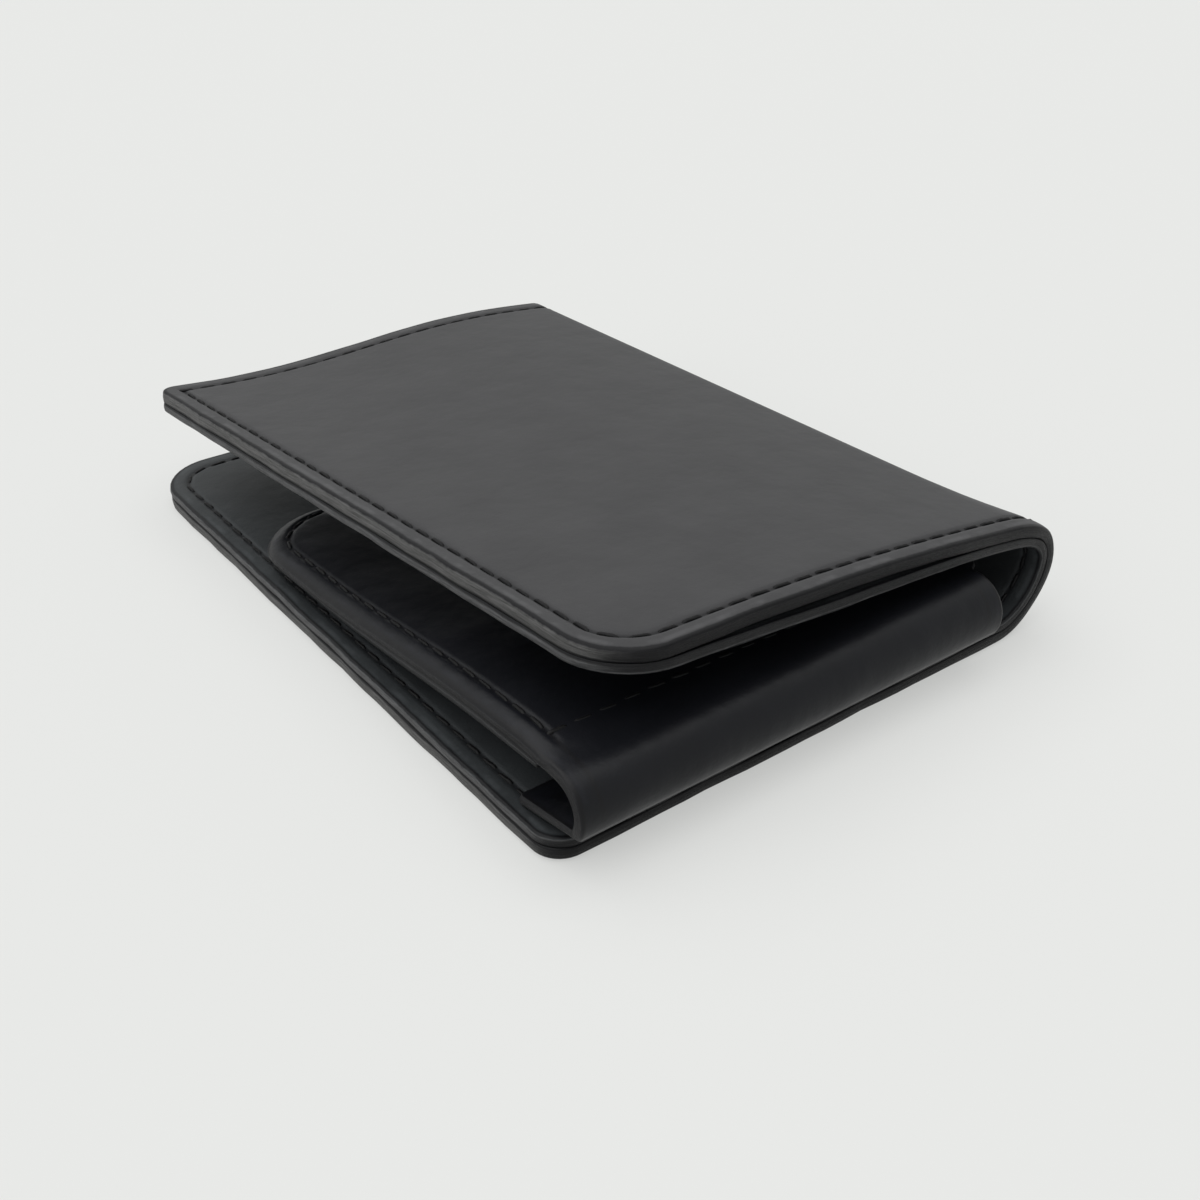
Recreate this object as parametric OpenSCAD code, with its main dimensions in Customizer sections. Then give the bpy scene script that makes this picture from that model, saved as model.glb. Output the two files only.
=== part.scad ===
// Fold-over leather identity wallet, lying on its back cover, sprung slightly open.
// X runs across the wallet, with the spine at +X and the free edges at -X.
// Y runs along the spine, with the folded end of the inner flap at -Y. Z is up.
// The origin is the middle of the closed wallet, on the outer face of the back cover.

/* [Covers] */
// Length along the spine
cover_len = 110; // [96:1:124]
// Closed width, from the free edge to the outside of the spine
cover_w = 82; // [72:1:92]
// Radius of the front cover's near corner and of the back cover's far corner
corner_r = 9; // [5:0.5:12]
// Radius of the other two free corners, which are cut tighter
tight_corner_r = 4; // [3:0.5:8]
// Thickness of the outer leather
outer_t = 1.9; // [1.4:0.1:2.4]
// Thickness of the lining leather
lining_t = 1.4; // [1.1:0.1:1.8]
// How much shorter the front cover is than the back, across the wallet
front_short = 5; // [3:0.5:8]
// Angle by which the front cover stands open, in degrees
gape = 4; // [2:0.5:8]
// Turn of the front cover in its own plane, in degrees
front_skew = 1.7; // [0:0.1:2.5]
// Rise of the front cover's near corner above its flat line
near_rise = 1.7; // [0:0.1:2.5]
// Arch of the front cover's near edge above the line to that corner
arch_rise = 2.1; // [0:0.1:2.5]
// Drop of the front cover's far corner below its flat line
far_drop = 2.5; // [0:0.1:3]
// Wave of the front cover's far edge: up near the spine, down farther out
far_wave = 0.9; // [0:0.1:1.2]

/* [Spine] */
// Height lost by the round spine from the near end to the far end
spine_drop = 3.2; // [1:0.2:4]
// Free height between the inner flap and the front cover at the spine
cover_clear = 1.4; // [1:0.1:3]
// Width of the slit that separates the leather at each crease
crease_gap = 0.3; // [0.2:0.05:0.5]

/* [Inner flap] */
// Length of the flap from its fold to its free end
flap_len = 78; // [60:1:84]
// Distance from the free edge of the back cover to the flap
flap_inset = 1; // [0.5:0.5:4]
// Distance from the start of the spine to the flap
flap_spine_gap = 3; // [2.5:0.5:6]
// Radius of the corners at the free end of the flap
flap_corner_r = 12; // [6:0.5:16]
// Thickness of the leather that makes the flap's face and its fold
strap_t = 1.6; // [1.2:0.1:2]
// Thickness of the leather under the flap
flap_lining_t = 1.7; // [1.4:0.1:2.2]
// Outside radius of the flap's fold
strap_r = 4.8; // [4:0.1:6]
// How far the fold is narrower than the flap, on each side
strap_inset = 2; // [1:0.25:4]
// Distance that the fold stands out past the near edge of the cover
strap_proud = 3.8; // [2:0.1:4.5]
// Depth of the sewn strip at the foot of the fold
strap_foot = 7; // [5:0.5:9]
// Thickness of the stiffening board inside the flap
board_t = 0.8; // [0.5:0.1:1]
// Free height under the far end of the flap
flap_rest_gap = 0.35; // [0.3:0.05:0.8]

/* [Window and pocket] */
// Distance from each side of the back panel to the window opening
window_side = 17; // [12:0.5:20]
// Distance from the far edge, and from the foot of the fold, to the window opening
window_end = 11; // [9:0.5:16]
// Radius of the window's corners
window_r = 4; // [2:0.5:6]
// Border of the clear sheet hidden under the lining
window_border = 4; // [2:0.5:5]
// Thickness of the clear sheet
window_t = 0.4; // [0.3:0.05:0.6]
// Distance from the cover's edges to the card pocket
pocket_inset = 4.6; // [4.4:0.1:7]
// Distance from the front cover's fold line to the mouth of the pocket
pocket_mouth = 14; // [10:0.5:20]
// Thickness of the pocket leather
pocket_t = 1; // [0.8:0.1:1.2]
// Radius of the thumb notch in the pocket's mouth
notch_r = 9; // [6:0.5:12]

/* [Seams] */
// Distance of the seams from the leather's edges
seam_margin = 2.8; // [2.4:0.1:3.4]
// Distance of the pocket's seam from the pocket's edges
pocket_margin = 1.8; // [1.5:0.1:2.4]
// Width of the sewing thread
thread_w = 0.6; // [0.4:0.05:0.8]
// Depth of the groove that the thread lies in
groove_d = 0.45; // [0.3:0.05:0.5]

/* [Hidden] */
$fn = 96;

// Overrun of a cut past the face it leaves by
cut = 1;
// Side clearance of a thread in its groove, and its distance below the surface
thread_clear = 0.1;
thread_sink = 0.05;
// Length by which a flat leaf runs into the round spine, along the tangent
lap_len = 0.15;
// Clearance round a sheet or board in its recess
recess_clear = 0.3;
recess_play = 0.05;
// Distance from the flap's edges to its board
board_inset = 5;
// Distance from the near edge to the step where the wide part of the flap begins
shoulder = 2;
shoulder_r = 1.5;
// Distance from the fold's tangent to the end of the leather under the flap
lining_setback = 3;
// Number of flat strips that make up the front cover's bow
bow_strips = 8;
// Width of the front cover's flat strip along the fold line, before the bow begins
hinge_strip = 1;

// Stacks of leather
back_t = outer_t + lining_t;
front_t = back_t + pocket_t;
flap_t = strap_t + flap_lining_t;

// The spine is a cone: its outer radius shrinks from the near end to the far end
spine_r0 = (back_t + 2 * strap_r + cover_clear + front_t) / 2;
spine_r1 = spine_r0 - spine_drop / 2;
cone_a = asin((spine_r0 - spine_r1) / cover_len);
cone_h = cover_len * cos(cone_a);
fold_x = cover_w / 2 - spine_r0;
back_w = cover_w - spine_r0;
front_w = back_w - front_short;
front_angle = 180 - gape;
bow_w = front_w - hinge_strip;

// The spine's arc is divided at two creases
lower_crease = 45;
upper_crease = 135;
half_slit = crease_gap / 2 / spine_r0 * 180 / PI;
lap_angle = lap_len / spine_r0 * 180 / PI;
groove_w = thread_w + 2 * thread_clear;

// The fold of the inner flap
strap_y = -cover_len / 2 - strap_proud + strap_r;
strap_z = back_t + strap_r;
strap_mid = 180;
strap_slit = crease_gap / 2 / strap_r * 180 / PI;
flap_rise = strap_z - back_t - flap_rest_gap;
flap_arm = strap_r - flap_t;
flap_tilt = acos(-flap_rise / norm([flap_arm, flap_len])) - atan2(flap_len, flap_arm);
flap_x0 = -cover_w / 2 + flap_inset;
flap_w = back_w - flap_inset - flap_spine_gap;
strap_w = flap_w - 2 * strap_inset;

// The window opening fills the back panel between its margins and the fold's foot
window_w = back_w - 2 * window_side;
window_x = -cover_w / 2 + window_side;
window_y = strap_y + strap_foot + window_end;
window_len = cover_len / 2 - window_end - window_y;

back_colour = [0.20, 0.20, 0.21];
front_colour = [0.24, 0.24, 0.25];
spine_colour = [0.22, 0.22, 0.23];
lining_colour = [0.13, 0.14, 0.15];
flap_colour = [0.17, 0.18, 0.19];
thread_colour = [0.05, 0.05, 0.06];
window_colour = [0.55, 0.62, 0.66];
board_colour = [0.45, 0.42, 0.36];

// Moves children from the spine's axis frame, with Z along the cone and +Y down
module to_axis() {
    translate([fold_x, -cover_len / 2 + spine_r0 * sin(cone_a), spine_r0 * cos(cone_a)])
        rotate([-90 - cone_a, 0, 0])
            children();
}

// Undoes to_axis
module from_axis() {
    rotate([90 + cone_a, 0, 0])
        translate([-fold_x, cover_len / 2 - spine_r0 * sin(cone_a), -spine_r0 * cos(cone_a)])
            children();
}

// Places a leaf drawn flat on its outer face: x away from the spine, y along it, z inwards
module on_back() {
    translate([fold_x, -cover_len / 2, 0])
        mirror([1, 0, 0])
            children();
}

module on_front() {
    to_axis()
        rotate([0, 0, -front_angle])
            from_axis()
                translate([fold_x, -cover_len / 2, 0])
                    children();
}

module on_flap() {
    translate([flap_x0, strap_y, strap_z])
        rotate([-flap_tilt, 0, 0])
            children();
}

// Height of the front cover above its flat line, at a share of its bowed width, at each end
function near_height(share) = near_rise * share + arch_rise * sin(180 * share);
function far_height(share) = far_wave * sin(360 * share) - far_drop * share;

// A point of the bowed front cover: x from the fold line, y along it, z inwards
function bow_point(x, y, z) =
    let (share = max(x - hinge_strip, 0) / bow_w, along = y / cover_len)
    [
        x * (1 + y * sin(front_skew) / front_w),
        y,
        z - (1 - along) * near_height(share) - along * far_height(share)
    ];

// A slab between two depths that follows the bow, from the fold line to past the edges
module bowed_slab(from_z, to_z) {
    xs = [0, for (i = [0 : bow_strips]) hinge_strip + bow_w * i / bow_strips, front_w + cut];
    ys = [-front_w * sin(front_skew) - cut, cover_len + cut];
    last = len(xs) - 1;
    layer = 2 * len(xs);
    points = [for (z = [from_z, to_z], x = xs, y = ys) bow_point(x, y, z)];
    strips = [for (i = [0 : last - 1]) 2 * i];
    polyhedron(points, [
        for (a = strips) [a, a + 2, a + 3],
        for (a = strips) [a, a + 3, a + 1],
        for (a = strips) [layer + a, layer + a + 3, layer + a + 2],
        for (a = strips) [layer + a, layer + a + 1, layer + a + 3],
        for (a = strips) [a, layer + a, layer + a + 2, a + 2],
        for (a = strips) [a + 1, a + 3, layer + a + 3, layer + a + 1],
        [0, 1, layer + 1, layer],
        [2 * last, layer + 2 * last, layer + 2 * last + 1, 2 * last + 1]
    ]);
}

// Cuts an outline from the bowed slab
module bowed_leaf(from_z, to_z) {
    intersection() {
        translate([0, 0, from_z - 2 * front_t])
            linear_extrude(to_z - from_z + 4 * front_t)
                children();
        bowed_slab(from_z, to_z);
    }
}

module flat_leaf(from_z, to_z) {
    translate([0, 0, from_z])
        linear_extrude(to_z - from_z)
            children();
}

// Extrudes an outline between two depths of a cover: flat on the back, bowed on the front
module cover_leaf(front, from_z, to_z) {
    if (front) {
        bowed_leaf(from_z, to_z)
            children();
        flat_leaf(from_z, to_z)
            intersection() {
                children();
                translate([-cover_w, -cover_len])
                    square([cover_w + hinge_strip, 3 * cover_len]);
            }
    }
    else
        flat_leaf(from_z, to_z)
            children();
}

// Places a leaf on its cover, the front one or the back one
module on_cover(front) {
    if (front)
        on_front()
            children();
    else
        on_back()
            children();
}

// A rectangle from x = -lead to x = w, with a near and a far corner radius at x = w
module leaf_2d(w, l, radii, lead = 0) {
    near_r = radii[0];
    far_r = radii[1];
    translate([-lead, 0])
        square([w + lead - near_r, l / 2]);
    translate([-lead, l / 2])
        square([w + lead - far_r, l / 2]);
    translate([0, near_r])
        square([w, l - near_r - far_r]);
    translate([w - near_r, near_r])
        circle(near_r);
    translate([w - far_r, l - far_r])
        circle(far_r);
}

// The same outline moved in by a distance on the three sewn sides
module leaf_inset_2d(w, l, radii, inset, lead) {
    inner = [for (r = radii) max(r - inset, r / 4)];
    translate([0, inset])
        leaf_2d(w - inset, l - 2 * inset, inner, lead);
}

// A band of a leaf's outline, centred on the seam
module leaf_band_2d(w, l, radii, margin, band, lead) {
    difference() {
        leaf_inset_2d(w, l, radii, margin - band / 2, lead);
        leaf_inset_2d(w, l, radii, margin + band / 2, lead + cut);
    }
}

// Turns a leaf by the skew of its cover and ends it just past the fold line
module skewed_2d(front) {
    intersection() {
        rotate(front ? -front_skew : 0)
            children();
        translate([-2 * lap_len, -cover_len])
            square([2 * cover_w, 3 * cover_len]);
    }
}

// Radii of a cover's near and far free corners
function cover_radii(front) = front
    ? [corner_r, tight_corner_r]
    : [tight_corner_r, corner_r];

// How far a leaf is drawn past the fold line before the skew turns it
function lead(front) = cut + (front ? cover_len * sin(front_skew) : 0);

module cover_outline_2d(front) {
    skewed_2d(front)
        leaf_2d(front ? front_w : back_w, cover_len, cover_radii(front), lead(front));
}

module cover_band_2d(front, band) {
    skewed_2d(front)
        leaf_band_2d(front ? front_w : back_w, cover_len, cover_radii(front),
            seam_margin, band, lead(front));
}

// One layer of the conical spine between two angles from the bottom line
module spine_layer(from_z, to_z, from_angle, to_angle) {
    to_axis()
        intersection() {
            difference() {
                cylinder(h = cone_h, r1 = spine_r0 - from_z / cos(cone_a),
                    r2 = spine_r1 - from_z / cos(cone_a));
                translate([0, 0, -cut])
                    cylinder(h = cone_h + 2 * cut,
                        r1 = spine_r0 - to_z / cos(cone_a) + cut * tan(cone_a),
                        r2 = spine_r1 - to_z / cos(cone_a) - cut * tan(cone_a));
            }
            spine_wedge(from_angle, to_angle);
        }
}

module spine_wedge(from_angle, to_angle) {
    reach = 2 * spine_r0;
    mid_angle = (from_angle + to_angle) / 2;
    translate([0, 0, -cut])
        linear_extrude(cone_h + 2 * cut)
            polygon([
                [0, 0],
                for (a = [from_angle, mid_angle, to_angle])
                    reach * [sin(a), cos(a)]
            ]);
}

// The two short runs of a seam round the spine, in a layer between two depths
module spine_runs(from_z, to_z, band, from_angle, to_angle) {
    intersection() {
        spine_layer(from_z, to_z, from_angle, to_angle);
        to_axis()
            for (z = [seam_margin, cone_h - seam_margin])
                translate([0, 0, z - band / 2])
                    cylinder(h = band, r = 2 * spine_r0);
    }
}

// First and last angle of the spine that belong to a cover
function cover_arc(front, slit) = front
    ? [upper_crease + slit, front_angle - lap_angle]
    : [lap_angle, lower_crease - slit];

// Leather of one cover: a flat leaf and its share of the spine, with a seam groove
module cover_layer(front, from_z, to_z, groove_from, groove_to) {
    arc = cover_arc(front, half_slit);
    groove_arc = cover_arc(front, 0);
    difference() {
        union() {
            on_cover(front)
                cover_leaf(front, from_z, to_z)
                    cover_outline_2d(front);
            spine_layer(from_z, to_z, arc[0], arc[1]);
        }
        on_cover(front)
            cover_leaf(front, groove_from, groove_to)
                cover_band_2d(front, groove_w);
        spine_runs(groove_from, groove_to, groove_w, groove_arc[0], groove_arc[1]);
    }
}

// Thread of one cover's seam, between two depths
module cover_thread(front, from_z, to_z) {
    arc = cover_arc(front, half_slit);
    on_cover(front)
        cover_leaf(front, from_z, to_z)
            cover_band_2d(front, thread_w);
    spine_runs(from_z, to_z, thread_w, arc[0], arc[1]);
}

// Outer leather of the back cover, down to the first crease of the spine
module back_cover() {
    color(back_colour)
        cover_layer(false, 0, outer_t, -cut, groove_d);
}

// Lining of the back cover, with the window opening and the recess for its sheet
module back_lining() {
    color(lining_colour)
        difference() {
            cover_layer(false, outer_t, back_t, back_t - groove_d, back_t + cut);
            translate([window_x, window_y, 0])
                linear_extrude(back_t + cut)
                    window_2d(0);
            translate([window_x, window_y, outer_t - cut])
                linear_extrude(cut + window_t + recess_play)
                    window_2d(window_border + recess_clear);
        }
}

module window_2d(border) {
    r = window_r;
    w = window_w + border;
    l = window_len + border;
    translate([-border, r])
        square([w + border, l - border - 2 * r]);
    translate([r, -border])
        square([w - border - 2 * r, l + border]);
    for (x = [r, window_w - r], y = [r, window_len - r])
        translate([x, y])
            circle(r + border);
}

// Clear sheet behind the window opening
module back_window() {
    color(window_colour)
        translate([window_x, window_y, outer_t])
            linear_extrude(window_t)
                window_2d(window_border);
}

module back_seam_outer() {
    color(thread_colour)
        cover_thread(false, thread_sink, groove_d);
}

module back_seam_inner() {
    color(thread_colour)
        cover_thread(false, back_t - groove_d, back_t - thread_sink);
}

// Profile of the fold between two angles, in the plane across its axis
module strap_ring_2d(from_angle, to_angle) {
    reach = 2 * strap_r;
    mid_angle = (from_angle + to_angle) / 2;
    intersection() {
        difference() {
            circle(strap_r);
            circle(strap_r - strap_t);
        }
        polygon([
            [0, 0],
            for (a = [from_angle, mid_angle, to_angle])
                reach * [cos(a), sin(a)]
        ]);
    }
}

// Extrudes a profile drawn in Y and Z along the width of the fold
module along_strap() {
    rotate([90, 0, 90])
        linear_extrude(strap_w)
            children();
}

strap_seam_y = strap_foot / 2;

// Lower half of the flap's fold, with the strip that is sewn to the back lining
module strap_lower() {
    color(flap_colour)
        translate([flap_x0 + strap_inset, strap_y, strap_z])
            difference() {
                along_strap() {
                    strap_ring_2d(strap_mid + strap_slit, 270);
                    translate([0, -strap_r])
                        square([strap_foot, strap_t]);
                }
                translate([-cut, strap_seam_y - groove_w / 2, -strap_r + strap_t - groove_d])
                    cube([strap_w + 2 * cut, groove_w, groove_d + cut]);
            }
}

// Thread that holds the foot of the fold
module strap_seam() {
    color(thread_colour)
        translate([
            flap_x0 + strap_inset + seam_margin,
            strap_y + strap_seam_y - thread_w / 2,
            back_t + strap_t - groove_d
        ])
            cube([strap_w - 2 * seam_margin, thread_w, groove_d - thread_sink]);
}

// Middle part of the spine's outer leather, between the two creases
module spine_cover() {
    color(spine_colour)
        difference() {
            spine_layer(0, outer_t, lower_crease + half_slit, upper_crease - half_slit);
            spine_runs(-cut, groove_d, groove_w, lower_crease, upper_crease);
        }
}

module spine_lining() {
    color(lining_colour)
        difference() {
            spine_layer(outer_t, back_t, lower_crease + half_slit, upper_crease - half_slit);
            spine_runs(back_t - groove_d, back_t + cut, groove_w, lower_crease, upper_crease);
        }
}

module spine_seam_outer() {
    color(thread_colour)
        spine_runs(thread_sink, groove_d, thread_w,
            lower_crease + half_slit, upper_crease - half_slit);
}

module spine_seam_inner() {
    color(thread_colour)
        spine_runs(back_t - groove_d, back_t - thread_sink, thread_w,
            lower_crease + half_slit, upper_crease - half_slit);
}

// Outer leather of the front cover, from the second crease of the spine
module front_cover() {
    color(front_colour)
        cover_layer(true, 0, outer_t, -cut, groove_d);
}

module front_lining() {
    color(lining_colour)
        cover_layer(true, outer_t, back_t, back_t - groove_d, back_t + cut);
}

module front_seam_outer() {
    color(thread_colour)
        cover_thread(true, thread_sink, groove_d);
}

module front_seam_inner() {
    color(thread_colour)
        cover_thread(true, back_t - groove_d, back_t - thread_sink);
}

pocket_w = front_w - pocket_inset - pocket_mouth;
pocket_len = cover_len - 2 * pocket_inset;
pocket_radii = [corner_r - pocket_inset / 2, corner_r - pocket_inset / 2];

// Extrudes a drawing of the pocket, from its mouth, between two depths of the front cover
module pocket_leaf(from_z, to_z) {
    on_front()
        bowed_leaf(from_z, to_z)
            rotate(-front_skew)
                translate([pocket_mouth, pocket_inset])
                    children();
}

// Card pocket inside the front cover, with a thumb notch in its mouth
module front_pocket() {
    color(flap_colour)
        difference() {
            pocket_leaf(back_t, front_t)
                difference() {
                    leaf_2d(pocket_w, pocket_len, pocket_radii);
                    translate([0, pocket_len / 2])
                        circle(notch_r);
                }
            pocket_leaf(front_t - groove_d, front_t + cut)
                leaf_band_2d(pocket_w, pocket_len, pocket_radii, pocket_margin, groove_w, cut);
        }
}

module front_pocket_seam() {
    color(thread_colour)
        pocket_leaf(front_t - groove_d, front_t - thread_sink)
            leaf_band_2d(pocket_w, pocket_len, pocket_radii, pocket_margin, thread_w, 0);
}

// Outline of the flap moved in by a distance: rounded far corners, small near corners
module flap_2d(inset) {
    far_r = max(flap_corner_r - inset, flap_corner_r / 4);
    near_r = max(shoulder_r - inset, shoulder_r / 2);
    near_y = shoulder + inset;
    far_y = flap_len - inset;
    translate([inset, near_y + near_r])
        square([flap_w - 2 * inset, far_y - far_r - near_y - near_r]);
    translate([inset + near_r, near_y])
        square([flap_w - 2 * (inset + near_r), near_r]);
    translate([inset + far_r, far_y - far_r])
        square([flap_w - 2 * (inset + far_r), far_r]);
    for (x = [inset + near_r, flap_w - inset - near_r])
        translate([x, near_y + near_r])
            circle(near_r);
    for (x = [inset + far_r, flap_w - inset - far_r])
        translate([x, far_y - far_r])
            circle(far_r);
}

module flap_band_2d(band) {
    difference() {
        flap_2d(seam_margin - band / 2);
        flap_2d(seam_margin + band / 2);
    }
}

// Leather of the flap's face, with the upper half of its fold in the same piece
module flap_cover() {
    color(flap_colour)
        on_flap() {
            translate([strap_inset, 0, 0])
                along_strap()
                    strap_ring_2d(90, strap_mid + flap_tilt - strap_slit);
            difference() {
                translate([0, 0, strap_r - strap_t])
                    linear_extrude(strap_t) {
                        flap_2d(0);
                        translate([strap_inset, 0])
                            square([strap_w, shoulder + shoulder_r]);
                    }
                translate([0, 0, strap_r - groove_d])
                    linear_extrude(groove_d + cut)
                        flap_band_2d(groove_w);
            }
        }
}

module flap_lining_2d(inset) {
    intersection() {
        flap_2d(inset);
        translate([0, lining_setback + inset])
            square([flap_w, flap_len]);
    }
}

// Leather under the flap, with a recess for the board
module flap_lining() {
    color(lining_colour)
        on_flap()
            difference() {
                translate([0, 0, strap_r - flap_t])
                    linear_extrude(flap_lining_t)
                        flap_lining_2d(0);
                translate([0, 0, strap_r - strap_t - board_t - recess_play])
                    linear_extrude(board_t + recess_play + cut)
                        flap_lining_2d(board_inset - recess_clear);
                translate([0, 0, strap_r - flap_t - cut])
                    linear_extrude(groove_d + cut)
                        flap_band_2d(groove_w);
            }
}

// Board that stiffens the flap
module flap_board() {
    color(board_colour)
        on_flap()
            translate([0, 0, strap_r - strap_t - board_t])
                linear_extrude(board_t)
                    flap_lining_2d(board_inset);
}

module flap_seam_top() {
    color(thread_colour)
        on_flap()
            translate([0, 0, strap_r - groove_d])
                linear_extrude(groove_d - thread_sink)
                    flap_band_2d(thread_w);
}

module flap_seam_under() {
    color(thread_colour)
        on_flap()
            translate([0, 0, strap_r - flap_t + thread_sink])
                linear_extrude(groove_d - thread_sink)
                    flap_band_2d(thread_w);
}

back_cover();
back_lining();
back_window();
back_seam_outer();
back_seam_inner();
strap_lower();
strap_seam();
spine_cover();
spine_lining();
spine_seam_outer();
spine_seam_inner();
front_cover();
front_lining();
front_seam_outer();
front_seam_inner();
front_pocket();
front_pocket_seam();
flap_cover();
flap_board();
flap_lining();
flap_seam_top();
flap_seam_under();
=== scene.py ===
# %% [markdown]
# # A folding leather identity wallet
# The wallet lies on its back cover and is sprung a little open. It is made of flat leather, cut, sewn
# and folded, so this lesson builds it the same way: each leather is drawn flat, in millimetres, and
# then laid on a folded surface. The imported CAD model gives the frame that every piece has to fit.

# %% Load the frame
import math
import bpy
import numpy as np
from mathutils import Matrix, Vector


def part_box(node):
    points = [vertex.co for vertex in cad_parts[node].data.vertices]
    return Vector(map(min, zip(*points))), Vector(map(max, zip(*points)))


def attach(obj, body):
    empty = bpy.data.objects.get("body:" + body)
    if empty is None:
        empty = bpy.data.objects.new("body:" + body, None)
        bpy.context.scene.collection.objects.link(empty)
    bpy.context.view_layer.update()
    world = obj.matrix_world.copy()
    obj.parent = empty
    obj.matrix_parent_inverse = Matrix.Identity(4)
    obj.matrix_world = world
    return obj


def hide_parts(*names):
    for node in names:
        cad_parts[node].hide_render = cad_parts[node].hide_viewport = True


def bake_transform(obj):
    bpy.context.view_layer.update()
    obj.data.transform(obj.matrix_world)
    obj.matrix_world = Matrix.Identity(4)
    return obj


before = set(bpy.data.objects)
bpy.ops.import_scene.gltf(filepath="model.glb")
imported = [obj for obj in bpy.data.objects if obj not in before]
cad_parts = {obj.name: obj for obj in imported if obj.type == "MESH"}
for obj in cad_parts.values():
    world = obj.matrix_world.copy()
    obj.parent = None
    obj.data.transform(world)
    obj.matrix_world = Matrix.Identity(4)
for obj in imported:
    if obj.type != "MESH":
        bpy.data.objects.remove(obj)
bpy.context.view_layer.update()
MM = 0.001

# %% Small helpers for objects
def new_object(name, data):
    """A new object with its data, linked to the scene."""
    obj = bpy.data.objects.new(name, data)
    bpy.context.scene.collection.objects.link(obj)
    return obj


def aim(obj, towards):
    """Turns a camera or a light towards a direction."""
    obj.rotation_mode = "QUATERNION"
    obj.rotation_quaternion = Vector(towards).to_track_quat("-Z", "Y")


# %% [markdown]
# ## The sizes
# A leather worker needs few sizes: the length and width of the covers, the thickness of each leather,
# the radius of each fold and the margin of the seams, in millimetres. They are the same as in the CAD
# source, except for the front cover's far corner, which is rounded less. The place of the free edge is
# read from the frame, and the other places follow from it.

# %% Driving sizes, in millimetres
COVER_LEN = 110.0
CORNER_R, TIGHT_R, FAR_TIGHT_R = 9.0, 4.0, 2.5
OUTER_T = 1.9
LINING_T = 1.4
BACK_T = OUTER_T + LINING_T
POCKET_T = 1.0
FRONT_W = 67.7
GAPE = math.radians(4.0)
SKEW = math.radians(1.7)
SPINE_R0, SPINE_R1 = 9.3, 7.7
STRAP_R, STRAP_T = 4.8, 1.6
FLAP_LINING_T = 1.7
FLAP_LEN = 78.0
SEAM_MARGIN = 2.8
STITCH_PITCH = 3.4
THREAD_R = 0.26

FREE_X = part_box("back_cover")[0].x / MM
NEAR_Y = -COVER_LEN / 2
FOLD_X = -FREE_X - SPINE_R0
BACK_W = FOLD_X - FREE_X
print("free edge at", round(FREE_X, 1), "fold line at", round(FOLD_X, 1),
      "back panel", round(BACK_W, 1))

# %% [markdown]
# ## The camera
# The photograph was taken from close by, a little above the table, from the near left corner. The
# place was found by fitting a camera to the outline of the two covers. The lens is 42 mm on a 36 mm
# wide film, which gives the strong perspective of the picture.

# %% Camera at the photograph's viewing angle
AZIMUTH, ELEVATION = math.radians(-36.98), math.radians(32.03)
TARGET = Vector((-3.76, -14.08, 0.0)) * MM
DISTANCE, LENS, FILM_WIDE = 196.89, 42.0, 36.0
back = Vector((math.sin(AZIMUTH) * math.cos(ELEVATION),
               -math.cos(AZIMUTH) * math.cos(ELEVATION),
               math.sin(ELEVATION)))
camera = new_object("camera", bpy.data.cameras.new("camera"))
camera.data.lens, camera.data.sensor_width = LENS, FILM_WIDE
camera.data.clip_start, camera.data.clip_end = 0.01, 20.0
camera.location = TARGET + back * DISTANCE * MM
aim(camera, -back)
bpy.context.scene.camera = camera
print("camera at", [round(v, 4) for v in camera.location])

# %% [markdown]
# ## The folded surface of the covers
# Both covers and the spine are one hide in the real wallet. A point on it has two flat coordinates:
# `s` runs across, from the back cover's free edge (negative) through the spine to the front cover,
# and `v` runs along the spine. The spine is a cone, rounder at the near end. A modifier could bend a
# flat mesh, but a formula keeps every layer exactly parallel, so the surface is written as one. The
# section isn't quite round: leather that has been folded for years sinks at its upper shoulder and
# bellies out below it. Its near end keeps more of the round, flares, and sinks a little at its top. No
# bend may be tighter than the two leathers are thick, or their inner face would fold over itself.

# %% The cone of the spine
SIN_CONE = (SPINE_R0 - SPINE_R1) / COVER_LEN
COS_CONE = math.sqrt(1 - SIN_CONE ** 2)
FULL_TURN = math.pi - GAPE
ARC_LEN = (SPINE_R0 + SPINE_R1) / 2 * FULL_TURN
ACROSS = np.array([1.0, 0.0, 0.0])
RISE = np.array([0.0, SIN_CONE, COS_CONE])
AXIS = np.array([0.0, COS_CONE, -SIN_CONE])
print("spine arc", round(ARC_LEN, 1), "mm of hide, cone angle", round(math.degrees(SIN_CONE), 2))

# %% The worn section of the spine
# How far the radius changes, in millimetres, and between which angles round the spine.
SHOULDER, SHOULDER_SPAN = 1.1, (40, 170.5)
BELLY, BELLY_SPAN = 0.3, (5, 120)
FLARED, FLARED_SPAN = 1.1, (25, 170)
NEAR_DIP, DIP_SPAN = 0.45, (50, 160)
FLARE_LEN = 22.0
NEAR_SHARE = 0.15


def smooth(share):
    """A soft step: 0 up to 0, 1 from 1 on, and rounded between."""
    share = np.clip(share, 0, 1)
    return share * share * (3 - 2 * share)


def round_share(theta, span):
    """How far an angle has come between two angles in degrees, from 0 to 1."""
    return np.clip((np.degrees(theta) - span[0]) / (span[1] - span[0]), 0, 1)


def hump(theta, span):
    """A smooth hump between two angles, 1 in its middle."""
    return np.sin(math.pi * round_share(theta, span)) ** 2


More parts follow.
